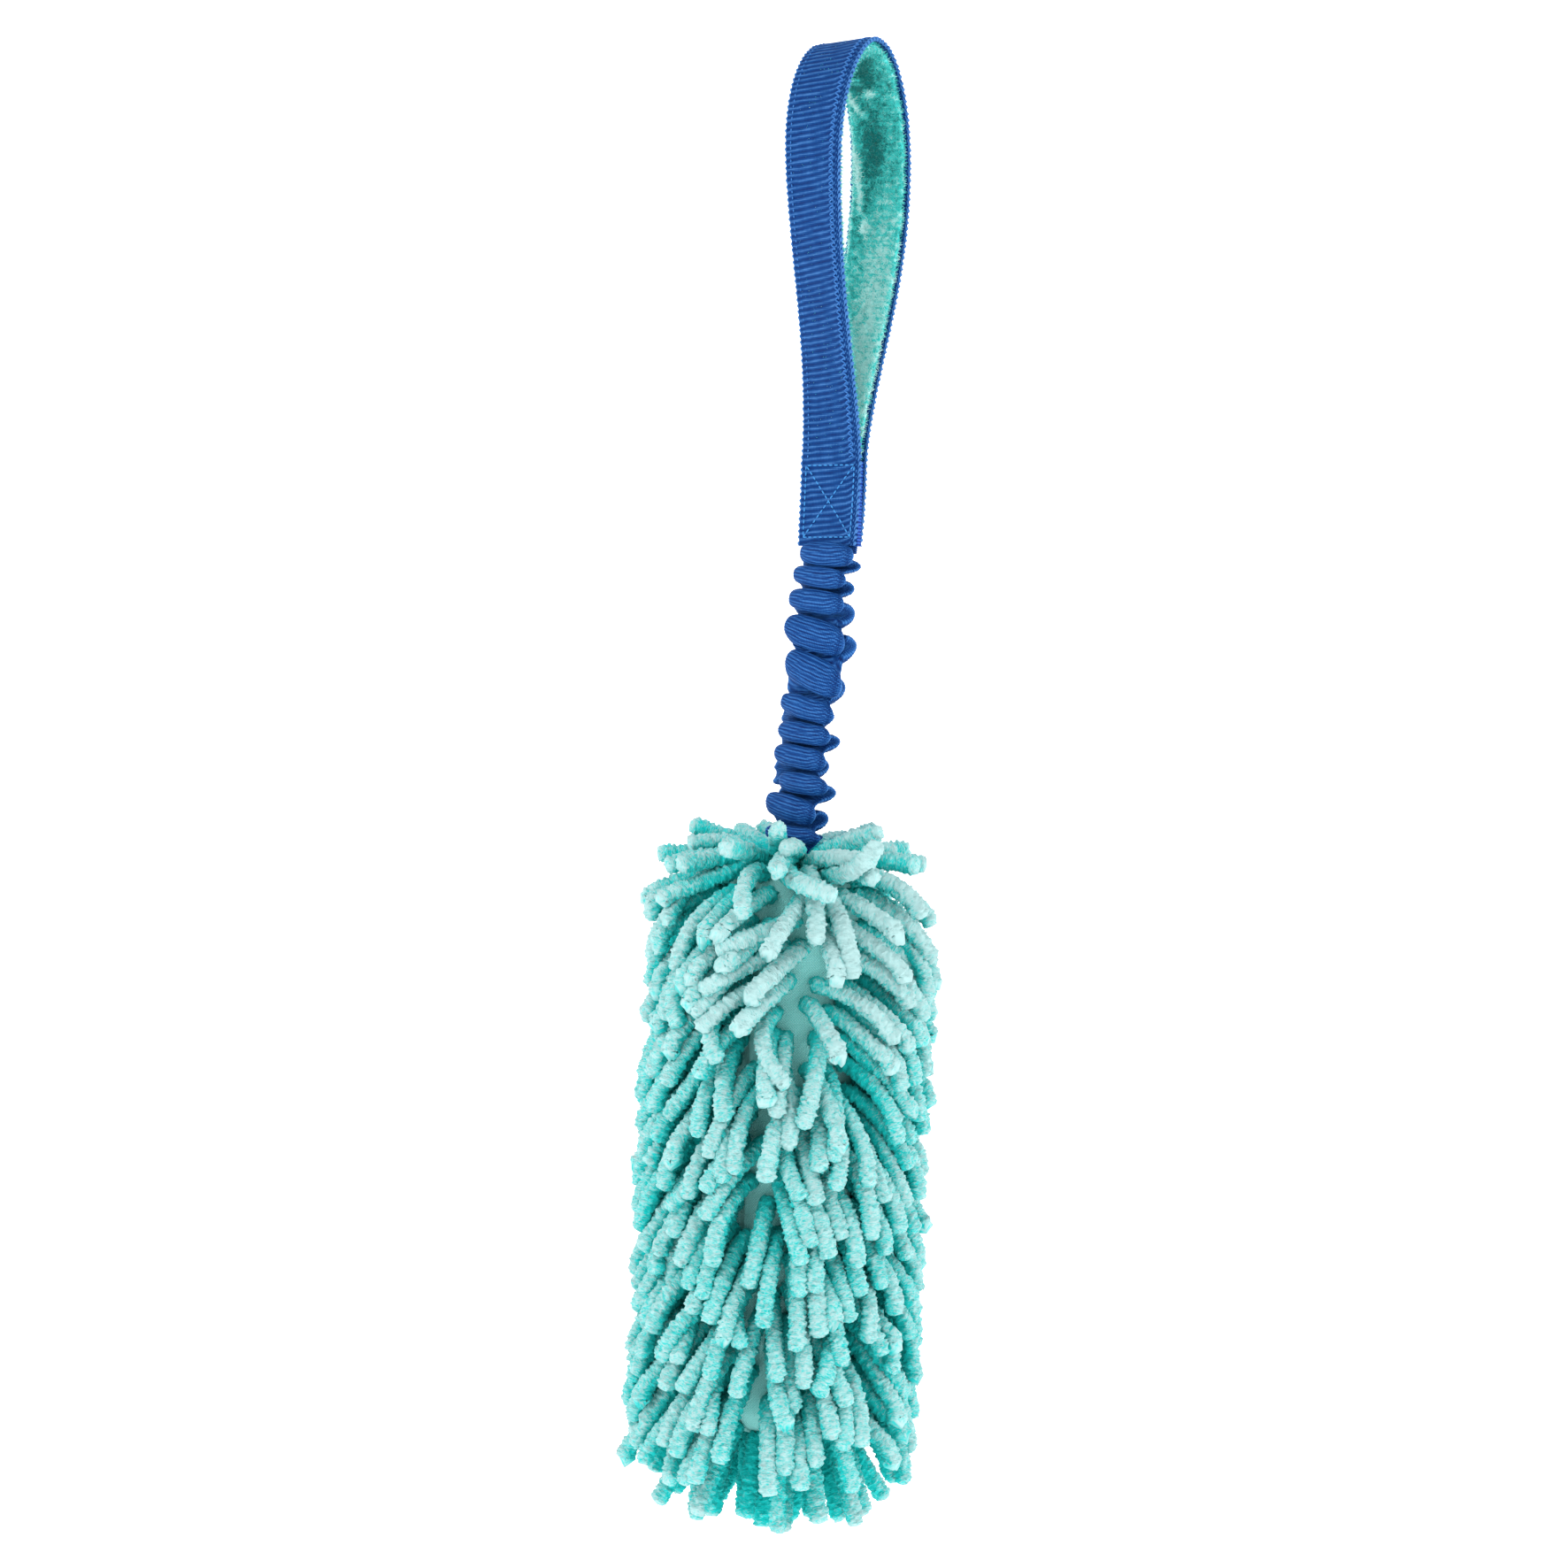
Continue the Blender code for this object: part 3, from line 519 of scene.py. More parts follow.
class StitchRecipe(Recipe):
    """Separate stitches of thread: one at each seed point, along its direction."""

    def __init__(self) -> None:
        """Name the thread's size."""
        super().__init__("stitches", {"Thread": 0.45 * MM, "Overlap": 1.1})

    def build(self, geometry: bpy.types.NodeSocket) -> None:
        """Lay a rounded length of thread along each point's direction."""
        direction = self.named("direction", "FLOAT_VECTOR")
        turn = self.add("FunctionNodeAlignRotationToVector", {"Vector": direction}, axis="X")
        length = self.add("ShaderNodeVectorMath", {0: direction}, operation="LENGTH").outputs["Value"]
        thread = self.size("Thread")
        scale = {0: self.maths("MULTIPLY", length, self.size("Overlap")), 1: thread, 2: thread}
        bead = self.add("GeometryNodeMeshUVSphere", {"Segments": 7, "Rings": 6, "Radius": 0.5})
        inputs = {
            "Points": geometry,
            "Instance": bead.outputs[0],
            "Rotation": turn.outputs[0],
            "Scale": self.add("ShaderNodeCombineXYZ", scale).outputs[0],
        }
        self.close(self.add("GeometryNodeInstanceOnPoints", inputs).outputs[0])


class PileRecipe(Recipe):
    """Short fibres standing on a cloth, each leaning its own way."""

    def __init__(self) -> None:
        """Name the pile's sizes."""
        sizes = {"Density": 2.0, "Side": 1.0, "Fibre": 1.4 * MM, "Thread": 0.3 * MM, "Lean": 0.7, "Seed": 1}
        super().__init__("pile", sizes)

    def random(self, low: object, high: object, offset: int, kind: str = "FLOAT") -> bpy.types.NodeSocket:
        """A random value for each fibre.

        Args:
            low: The lowest value.
            high: The highest.
            offset: Tells one draw from another.
            kind: FLOAT or FLOAT_VECTOR.

        Returns:
            The value's socket.
        """
        seed = self.maths("ADD", self.size("Seed"), float(offset))
        node = self.add("FunctionNodeRandomValue", data_type=kind)
        first = 0 if kind == "FLOAT_VECTOR" else 2
        for socket, value in zip(node.inputs[first : first + 2], (low, high)):
            self.feed(socket, value)
        self.feed(node.inputs["Seed"], seed)
        return node.outputs[0 if kind == "FLOAT_VECTOR" else 1]

    def build(self, geometry: bpy.types.NodeSocket) -> None:
        """Scatter points on one side of the cloth and stand a thin cone on each."""
        place = self.add("GeometryNodeInputPosition").outputs[0]
        depth = self.add("ShaderNodeSeparateXYZ", {0: place}).outputs[1]
        chosen = self.maths("GREATER_THAN", self.maths("MULTIPLY", depth, self.size("Side")), 0.0)
        density = self.maths("MULTIPLY", chosen, self.size("Density"))
        inputs = {"Mesh": geometry, "Density": density, "Seed": self.size("Seed")}
        spread = self.add("GeometryNodeDistributePointsOnFaces", inputs, distribute_method="RANDOM")
        lean = self.size("Lean")
        sway = self.random((-1.0, -1.0, -1.0), (1.0, 1.0, 1.0), 1, "FLOAT_VECTOR")
        standing = self.vectors("ADD", spread.outputs["Normal"], self.vectors("SCALE", sway, lean))
        turn = self.add("FunctionNodeAlignRotationToVector", {"Vector": standing}, axis="Z")
        inputs = {
            "Vertices": 3,
            "Side Segments": 1,
            "Radius Top": self.maths("MULTIPLY", self.size("Thread"), 0.12),
            "Radius Bottom": self.maths("MULTIPLY", self.size("Thread"), 0.5),
            "Depth": self.size("Fibre"),
        }
        cone = self.add("GeometryNodeMeshCone", inputs, fill_type="NONE")
        inputs = {
            "Points": spread.outputs[0],
            "Instance": cone.outputs["Mesh"],
            "Rotation": turn.outputs[0],
            "Scale": self.random(0.55, 1.15, 2),
        }
        fibres = self.add("GeometryNodeInstanceOnPoints", inputs).outputs[0]
        inputs = {"Geometry": fibres, "Name": "ridge", "Value": self.random(0.0, 1.0, 3)}
        named = self.add("GeometryNodeStoreNamedAttribute", inputs, data_type="FLOAT", domain="INSTANCE")
        self.close(named.outputs[0])


def dye(red: int, green: int, blue: int) -> tuple[float, float, float]:
    """A colour as light, from its value on a screen.

    Args:
        red: From 0 to 255.
        green: From 0 to 255.
        blue: From 0 to 255.

    Returns:
        The colour in linear light.
    """
    linear = ((((part / 255) + 0.055) / 1.055) ** 2.4 for part in (red, green, blue))
    return tuple(linear)


@dataclass(frozen=True)
class Woven(Finish):
    """Dyed woven polyester: single yarns, and ribs with a painted highlight on each crest and painted shade
    in the valleys.
    """

    yarn: float = 0.55 * MM
    contrast: float = 0.9
    yarn_contrast: float = 0.3

    def relief(self, wiring: Wiring) -> tuple[object, object, float]:
        """Follow the modelled ribs, with a painted highlight on their crests and painted shade in their
        valleys, and yarns crossing them.
        """
        ridge = wiring.attribute("ridge").outputs["Fac"]
        along = wiring.attribute("along").outputs["Fac"]
        across = wiring.attribute("across").outputs["Fac"]
        place = wiring.add("ShaderNodeTexCoord").outputs["Object"]
        column = wiring.maths("DIVIDE", across, self.yarn)
        row = wiring.maths("DIVIDE", along, self.yarn)
        yarns = wiring.maths("MULTIPLY", wiring.wave(column, 0.6), wiring.wave(row, 0.6))
        worn = wiring.noise(place, 260.0, 3.0)
        # Painted light: rib crests get the raised colour as a painted highlight, and valleys the deep colour
        # as painted shade.
        ribs = wiring.maths("MULTIPLY_ADD", wiring.maths("SUBTRACT", ridge, 0.25), self.contrast, 0.42)
        share = wiring.maths("MULTIPLY_ADD", wiring.maths("SUBTRACT", worn, 0.5), 0.45, ribs)
        share = wiring.maths("MULTIPLY_ADD", wiring.maths("SUBTRACT", yarns, 0.4), self.yarn_contrast, share)
        return share, yarns, 0.07 * MM


@dataclass(frozen=True)
class Plush(Finish):
    """Short dense pile in random clumps, with painted shadows and painted light from the cloth's shade
    attribute.
    """

    def relief(self, wiring: Wiring) -> tuple[object, object, float]:
        """Follow the pile's clumps, each fibre's own tone, and the painted shadows and painted highlights
        stored on the cloth.
        """
        place = wiring.add("ShaderNodeTexCoord").outputs["Object"]
        ridge = wiring.attribute("ridge").outputs["Fac"]
        clumps = wiring.noise(place, 420.0, 2.0)
        share = wiring.maths("MULTIPLY_ADD", ridge, 0.5, wiring.maths("MULTIPLY_ADD", clumps, 1.3, -0.4))
        # Painted shadows and painted light stored on the cloth: shadows in the folds beside the creases, a
        # highlight on each crease and light on the lower lining.
        share = wiring.maths("ADD", share, wiring.attribute("shade").outputs["Fac"])
        return share, wiring.noise(place, 1600.0, 2.0), 0.2 * MM


@dataclass(frozen=True)
class Thread(Finish):
    """Twisted shiny sewing thread."""

    def relief(self, wiring: Wiring) -> tuple[object, object, float]:
        """Follow a fine speckle, as twisted fibres give."""
        place = wiring.add("ShaderNodeTexCoord").outputs["Object"]
        twist = wiring.noise(place, 2600.0, 1.0)
        return twist, twist, 0.05 * MM


@dataclass(frozen=True)
class Chenille(Finish):
    """Soft upright pile with painted light and shade: pale where it faces out, deep teal where it closes up
    near the cover, where shade falls between noodles.
    """

    crinkle: float = 0.42 * MM
    crinkles_round: float = 2.6

    def relief(self, wiring: Wiring) -> tuple[object, object, float]:
        """Follow the painted shade stored with the modelled tufts, with fine crinkles round each noodle."""
        ridge, along = (wiring.attribute(name).outputs["Fac"] for name in ("ridge", "along"))
        section = wiring.vectors("SCALE", wiring.attribute("section").outputs["Vector"], self.crinkles_round)
        rows = wiring.add("ShaderNodeCombineXYZ", {2: wiring.maths("DIVIDE", along, self.crinkle)}).outputs[0]
        spot = wiring.vectors("ADD", section, rows)
        spot = wiring.vectors("ADD", spot, wiring.attribute("own_place").outputs["Vector"])
        crinkle = wiring.noise(spot, 1.0, 1.5)
        share = wiring.maths("MULTIPLY_ADD", wiring.maths("SUBTRACT", crinkle, 0.54), 0.85, ridge)
        return share, crinkle, 0.5 * MM


@dataclass(frozen=True)
class Knit(Finish):
    """Fine knitted backing."""

    loop: float = 1.0 * MM
    paleness: float = 0.5

    def relief(self, wiring: Wiring) -> tuple[object, object, float]:
        """Follow rows of small loops round the cover."""
        along = wiring.attribute("along").outputs["Fac"]
        across = wiring.attribute("across").outputs["Fac"]
        row, column = (wiring.maths("DIVIDE", side, self.loop) for side in (along, across))
        rows = wiring.wave(wiring.maths("ADD", row, column), 0.8)
        columns = wiring.wave(wiring.maths("SUBTRACT", row, column), 0.8)
        loops = wiring.maths("MULTIPLY", rows, columns)
        share = wiring.maths("MULTIPLY_ADD", loops, 0.45, self.paleness)
        return share, loops, 0.2 * MM


WEBBING = Woven(
    "blue_webbing", dye(0, 32, 92), dye(4, 63, 127), dye(68, 122, 187), 0.66, 0.04, dye(120, 170, 230)
)
SLEEVE = Woven(
    "blue_sleeve",
    dye(0, 26, 82),
    dye(8, 64, 130),
    dye(56, 116, 186),
    0.6,
    0.08,
    dye(110, 160, 230),
    yarn_contrast=0.5,
)
ELASTIC = Woven("navy_elastic", dye(10, 16, 50), dye(16, 28, 88), dye(34, 52, 120), 0.75)
PLUSH = Plush(
    "teal_plush", dye(0, 134, 132), dye(76, 222, 217), dye(212, 253, 250), 0.9, 0.5, dye(200, 255, 250)
)
BLUE_THREAD = Thread("blue_thread", dye(24, 76, 150), dye(44, 106, 180), dye(110, 174, 230), 0.5)
EDGE_THREAD = Thread("edge_thread", dye(30, 84, 158), dye(56, 118, 192), dye(130, 184, 236), 0.5)
MINT_THREAD = Thread("mint_thread", dye(60, 170, 155), dye(100, 205, 190), dye(160, 232, 220), 0.55)
NOODLES = Chenille(
    "mint_chenille", dye(0, 170, 167), dye(24, 204, 201), dye(176, 214, 214), 0.95, 0.1, dye(215, 255, 255)
)
BACKING = Knit("teal_backing", dye(70, 200, 196), dye(140, 230, 226), dye(200, 248, 245), 0.9, 0.1)
FIBREFILL = Finish("white_fibrefill", dye(205, 205, 200), dye(232, 232, 228), dye(250, 250, 248), 0.95, 0.3)


@dataclass
class Ribbon:
    """A ribbon's centre line, with its width and thickness directions at each point."""

    centres: np.ndarray
    wide: np.ndarray
    thick: np.ndarray

    def sunk(self, depth: float | np.ndarray) -> "Ribbon":
        """The ribbon moved against its thickness direction, as an inner layer lies."""
        unit = self.thick / np.linalg.norm(self.thick, axis=1, keepdims=True)
        return Ribbon(self.centres - unit * np.reshape(depth, (-1, 1)), self.wide, self.thick)

    def seed(self, name: str) -> bpy.types.Mesh:
        """The ribbon as a line of points that carry their directions."""
        mesh = bpy.data.meshes.new(name)
        links = [(number, number + 1) for number in range(len(self.centres) - 1)]
        mesh.from_pydata(self.centres.tolist(), links, [])
        for label, values in (("wide_axis", self.wide), ("thick_axis", self.thick)):
            layer = mesh.attributes.new(label, "FLOAT_VECTOR", "POINT")
            layer.data.foreach_set("vector", values.astype(np.float32).ravel())
        return mesh

    def lengths(self) -> np.ndarray:
        """How far along the ribbon each point is."""
        steps = np.linalg.norm(np.diff(self.centres, axis=0), axis=1)
        return np.concatenate(([0.0], np.cumsum(steps)))

    def at(self, along: np.ndarray, across: np.ndarray, lift: float) -> np.ndarray:
        """Places on or over the ribbon.

        Args:
            along: How far along it each is.
            across: How far to its wide side each is.
            lift: How far over its centre line they are.

        Returns:
            The places.
        """
        lengths = self.lengths()
        centres, wide, thick = (
            np.stack([np.interp(along, lengths, values[:, axis]) for axis in range(3)], axis=1)
            for values in (self.centres, self.wide, self.thick)
        )
        thick /= np.linalg.norm(thick, axis=1, keepdims=True)
        return centres + wide * across[:, None] + thick * lift


def stitch_seed(name: str, starts: np.ndarray, ends: np.ndarray) -> bpy.types.Mesh:
    """Points that carry the direction and length of the stitch to lay there.

    Args:
        name: The mesh's name.
        starts: Where each stitch starts.
        ends: Where it ends.

    Returns:
        The points.
    """
    mesh = bpy.data.meshes.new(name)
    mesh.from_pydata(((starts + ends) / 2).tolist(), [], [])
    layer = mesh.attributes.new("direction", "FLOAT_VECTOR", "POINT")
    layer.data.foreach_set("vector", (ends - starts).astype(np.float32).ravel())
    return mesh


def settle(piece: bpy.types.Object, body: Body, slot: Slot, *nodes: str) -> bpy.types.Object:
    """Put a finished piece on its body.

    Args:
        piece: The piece.
        body: The body that it rides on.
        slot: The piece's material slot in the record; not used.
        *nodes: The solids that it stands for.

    Returns:
        The piece.
    """
    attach(piece, body.value)
    if nodes:
        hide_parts(*nodes)
    LOG.info("%s: %d faces on %s", piece.name, len(piece.data.polygons), body.value)
    return piece


@dataclass
class HandLoop:
    """The lined hand loop: one strap of ribbed webbing bent over, with plush sewn inside it."""

    strap_width: float = 25.0 * MM
    strap_thickness: float = 1.5 * MM
    layer_gap: float = 0.3 * MM
    lining_width: float = 21.6 * MM
    lining_thickness: float = 2.0 * MM
    lining_pressed: float = 1.1 * MM
    lining_taper: float = 28.0 * MM
    length: float = 157.8 * MM
    box_length: float = 32.0 * MM
    box_half: float = 3.0 * MM
    depth: float = 52.5 * MM
    crown: float = 42.0 * MM
    near_crown: float = 46.0 * MM
    near_roundness: float = 1.2
    crown_lean: float = 0.05
    far_spread: float = 1.6 * MM
    closing_power: float = 1.65
    far_closing_power: float = 1.5
    bow: float = 2.8 * MM
    near_twist: float = math.radians(-16)
    far_twist: float = math.radians(2)
    hem_lean: float = 0.8 * MM
    rib_pitch: float = 2.3 * MM
    rib_height: float = 0.5 * MM
    edge_bead: float = 0.9 * MM
    selvedge: float = 2.6 * MM
    selvedge_stitch: float = 2.25 * MM
    lining_stitch: float = 4.5 * MM
    thread: float = 0.5 * MM
    stitch_insets: tuple[float, float] = (2.7 * MM, 4.6 * MM)
    stitch_share: float = 0.45
    stitch_lift: float = 0.1 * MM
    box_side: float = 10.3 * MM
    box_low: float = 3.2 * MM
    box_top: float = 1.8 * MM
    box_stitch: float = 2.3 * MM
    box_stitch_share: float = 0.72
    box_lift: float = 0.12 * MM
    box_thread: float = 0.55 * MM
    pile_density: float = 3.9e6
    pile_fibre: float = 1.7 * MM
    pile_thread: float = 0.41 * MM
    pile_lean: float = 1.3
    creases: tuple = (
        ((12 * MM, -12.0 * MM), (24 * MM, -4.6 * MM)),
        ((38 * MM, -8.6 * MM), (68 * MM, -4.4 * MM)),
        ((9 * MM, -7.0 * MM), (19 * MM, 2.0 * MM)),
        ((96 * MM, -9.0 * MM), (122 * MM, -6.0 * MM)),
    )
    crease_width: float = 0.9 * MM
    crease_height: float = 2.6 * MM
    # Painted shade and light on the far lining, each as a middle, a size and a strength: negative entries
    # paint shadows into the folds beside the creases, positive ones paint light onto the lower lining.
    shades: tuple = (
        ((9 * MM, -4.0 * MM), (6 * MM, 7.0 * MM), -1.0),
        ((36 * MM, -2.0 * MM), (14 * MM, 4.0 * MM), -0.9),
        ((62 * MM, -5.5 * MM), (10 * MM, 2.6 * MM), -0.4),
        ((30 * MM, 6.0 * MM), (16 * MM, 5.0 * MM), -0.12),
        ((92 * MM, 4.0 * MM), (28 * MM, 7.0 * MM), 0.4),
        ((106 * MM, -4.0 * MM), (14 * MM, 3.0 * MM), -0.15),
        ((135 * MM, 0.0 * MM), (26 * MM, 14.0 * MM), 0.55),
    )
    top: float = 0.0
    strap: Ribbon = field(init=False)

    def __post_init__(self) -> None:
        """Find the loop's top and lay the strap's centre line."""
        self.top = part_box("handle_webbing")[1][2] - 1.2 * MM
        self.strap = self.outer().sunk(self.strap_thickness / 2)

    def outer(self) -> Ribbon:
        """The strap's outer face, from the far side of the joint over the top to the near side."""
        shapes = (
            (self.near_crown, self.near_roundness, self.depth / 2, self.closing_power, -1, self.near_twist),
            (self.crown, 0.9, self.depth / 2 + self.far_spread, self.far_closing_power, 1, self.far_twist),
        )
        near, far = (self.side(*shape) for shape in shapes)
        halves = [np.concatenate((back[:0:-1], front)) for back, front in zip(far, near)]
        centres, wide = halves
        along = np.gradient(centres, axis=0)
        thick = np.cross(along, wide)
        thick /= np.linalg.norm(thick, axis=1, keepdims=True)
        return Ribbon(centres, wide, thick)

    def side(
        self, crown: float, roundness: float, depth: float, power: float, way: int, twist: float
    ) -> tuple[np.ndarray, np.ndarray]:
        """One side of the strap, from the top down.

        Args:
            crown: How far down the loop is deepest.
            roundness: How softly the top turns into the side.
            depth: The side's greatest depth from the middle.
            power: How the side closes towards the joint.
            way: -1 for the near side, 1 for the far side.
            twist: The strap's greatest turn about its own length.

        Returns:
            The points and the directions of the strap's width.
        """
        turns = np.linspace(0.0, math.pi / 2, 60)
        drops = np.arange(crown + MM, self.length + self.box_length, MM)
        share = np.clip((drops - crown) / (self.length - crown), 0, 1)
        ease = np.maximum(np.cos(math.pi / 2 * share), 0) ** power
        depths = self.box_half + (depth - self.box_half) * ease
        drops = np.concatenate((crown * (1 - np.cos(turns)), drops, [self.length + self.box_length]))
        depths = np.concatenate((depth * np.sin(turns) ** roundness, depths, [self.box_half]))
        return self.face(drops, way * depths, twist)

    def face(self, drops: np.ndarray, depths: np.ndarray, twist: float) -> tuple[np.ndarray, np.ndarray]:
        """One side of the strap.

        Args:
            drops: How far below the top each point is.
            depths: How far out from the middle it is.
            twist: The strap's greatest turn about its own length.

        Returns:
            The points and the directions of the strap's width.
        """
        share = np.clip(drops / self.length, 0, 1)
        bow = self.bow * np.sin(math.pi * share) ** 2
        turn = twist * np.sin(math.pi * share**1.5)
        below = np.clip((drops - self.length) / self.box_length, 0, 1)
        lean = -self.hem_lean * below**2
        points = np.stack((lean, depths + bow, self.top - drops), axis=1)
        tilt = self.crown_lean * np.exp(-((drops / (12 * MM)) ** 2))
        wide = np.stack((np.cos(turn), np.sin(turn), tilt), axis=1)
        return points, wide * (1 - 0.04 * below[:, None] ** 3)

    def reach(self) -> tuple[float, float]:
        """How far along the strap its lining starts and ends."""
        return self.box_length, self.strap.lengths()[-1] - self.box_length

    def build_strap(self, weave: StripRecipe) -> None:
        """Make the webbing."""
        piece = weave.make(
            "loop_strap",
            self.strap.seed("strap_line"),
            WEBBING,
            step=0.46 * MM,
            width=self.strap_width,
            thickness=self.strap_thickness,
            squareness=0.3,
            sides=72,
            rib_pitch=self.rib_pitch,
            rib_height=self.rib_height,
            rib_sharpness=3.2,
            rib_skew=0.08,
            rib_droop=1300.0,
            rib_waver=0.7,
            selvedge_left=self.edge_bead,
            selvedge_right=self.selvedge,
            bead=1.1,
            lump_height=0.3 * MM,
        )
        settle(piece, Body.HANDLE, Slot.WEBBING, "handle_webbing")

    def build_lining(self, weave: StripRecipe, pile: PileRecipe) -> None:
        """Make the plush: a lumpy core with fibres standing on it."""
        first, last = self.reach()
        lengths = self.strap.lengths()
        inside = (lengths > first) & (lengths < last)
        end_distance = np.minimum(lengths - first, last - lengths)[inside]
        share = np.clip(end_distance / self.lining_taper, 0, 1)
        ease = share * share * (3 - 2 * share)
        thickness = self.lining_pressed + (self.lining_thickness - self.lining_pressed) * ease
        inner = Ribbon(self.strap.centres[inside], self.strap.wide[inside], self.strap.thick[inside])
        line = inner.sunk(self.strap_thickness / 2 + self.layer_gap + thickness / 2)
        line.thick *= (thickness / self.lining_thickness)[:, None]
        core = weave.make(
            "loop_lining",
            line.seed("lining_line"),
            PLUSH,
            step=0.8 * MM,
            width=self.lining_width,
            thickness=self.lining_thickness,
            squareness=0.5,
            sides=40,
            lump_size=7.0 * MM,
            lump_height=0.9 * MM,
        )
        self.press_creases(core.data)
        settle(core, Body.HANDLE, Slot.PLUSH, "handle_lining")
        for part, side in (("near", -1.0), ("far", 1.0)):
            fibres = pile.make(
                f"loop_lining_pile_{part}",
                core.data.copy(),
                PLUSH,
                density=self.pile_density,
                side=side,
                fibre=self.pile_fibre,
                thread=self.pile_thread,
                lean=self.pile_lean,
            )
            settle(fibres, Body.HANDLE, Slot.PLUSH)

    def press_creases(self, mesh: bpy.types.Mesh) -> None:
        """Raise the soft creases on the far side of the lining, and paint light and shade on it: a painted
        highlight on each crease, painted shadows and painted light from the shades table, and a paler left
        edge.

        Args:
            mesh: The lining's mesh.
        """
        count = len(mesh.vertices)
        places, across = np.empty(count * 3, np.float32), np.empty(count, np.float32)
        mesh.vertices.foreach_get("co", places)
        places = places.reshape(-1, 3)
        mesh.attributes["across"].data.foreach_get("value", across)
        spots = np.column_stack((self.top - places[:, 2], across))
        far = places[:, 1] > 0
        shade = np.zeros(count)
        for first, last in self.creases:
            first, span = np.array(first), np.array(last) - np.array(first)
            share = np.clip((spots - first) @ span / (span @ span), 0, 1)
            distance = np.linalg.norm(spots - first - share[:, None] * span, axis=1)
            crest = np.exp(-((distance / self.crease_width) ** 2)) * far
            places[:, 1] -= crest * self.crease_height
            # Painted highlight along each crease's crest.
            shade += 0.9 * crest
        # Painted shadows and painted light from the shades table.
        for middle, size, strength in self.shades:
            distance = np.linalg.norm((spots - middle) / size, axis=1)
            shade += strength * np.exp(-(distance**2)) * far
        # Paler towards the left edge.
        shade += 0.35 * np.clip(-across / (self.lining_width / 2) - 0.86, 0, 0.1) / 0.1
        mesh.vertices.foreach_set("co", places.ravel())
        layer = mesh.attributes.new("shade", "FLOAT", "POINT")
        layer.data.foreach_set("value", shade.astype(np.float32))
        mesh.update()

    def build_stitches(self, threads: StitchRecipe) -> None:
        """Sew the lining to the strap: a straight row along each edge and a zigzag along the right edge."""
        first, last = self.reach()
        lift = self.strap_thickness / 2 + self.stitch_lift
        for name, side in (("left", -1.0), ("right", 1.0)):
            starts, ends = [], []
            edge = side * self.strap_width / 2
            spots = np.arange(first, last, self.lining_stitch / 2)
            across = np.full_like(spots, edge - side * self.stitch_insets[0])
            starts.append(self.strap.at(spots, across, lift))
            ends.append(self.strap.at(spots + self.lining_stitch / 2 * self.stitch_share, across, lift))
            spots = np.arange(first, last, self.selvedge_stitch / 2)
            swing = np.where(np.arange(len(spots)) % 2 == 0, *self.stitch_insets)
            places = self.strap.at(spots, edge - side * swing, lift)
            if side > 0:
                starts.append(places[:-1])
                ends.append(places[1:])
            seed = stitch_seed(f"stitches_{name}", np.concatenate(starts), np.concatenate(ends))
            piece = threads.make(f"loop_stitches_{name}", seed, EDGE_THREAD, thread=self.thread)
            settle(piece, Body.HANDLE, Slot.BLUE_THREAD, f"lining_stitch_{name}")

    def build_box(self, threads: StitchRecipe) -> None:
        """Sew the box and cross on both faces of the joint."""
        whole = self.strap.lengths()[-1]
        side, low, high = self.box_side, self.box_low, self.box_length - self.box_top
        corners = ((-side, low), (side, low), (side, high), (-side, high))
        lines = [(corners[number], corners[(number + 1) % 4]) for number in range(4)]
        lines += [(corners[0], corners[2]), (corners[1], corners[3])]
        for name, far in (("front", False), ("back", True)):
            starts, ends = [], []
            for (x0, up0), (x1, up1) in lines:
                count = max(2, round(math.dist((x0, up0), (x1, up1)) / self.box_stitch))
                steps = np.arange(count) / count
                for part, places in ((0.0, starts), (self.box_stitch_share / count, ends)):
                    rise = up0 + (up1 - up0) * (steps + part)
                    along = rise if far else whole - rise
                    across = x0 + (x1 - x0) * (steps + part)
                    places.append(self.strap.at(along, across, self.strap_thickness / 2 + self.box_lift))
            seed = stitch_seed(f"box_{name}", np.concatenate(starts), np.concatenate(ends))
            piece = threads.make(f"box_stitches_{name}", seed, BLUE_THREAD, thread=self.box_thread)
            settle(piece, Body.HANDLE, Slot.BLUE_THREAD, f"box_stitch_{name}")

    def build(self, weave: StripRecipe, pile: PileRecipe, threads: StitchRecipe) -> None:
        """Make the whole loop."""
        self.build_strap(weave)
        self.build_lining(weave, pile)
        self.build_stitches(threads)
        self.build_box(threads)


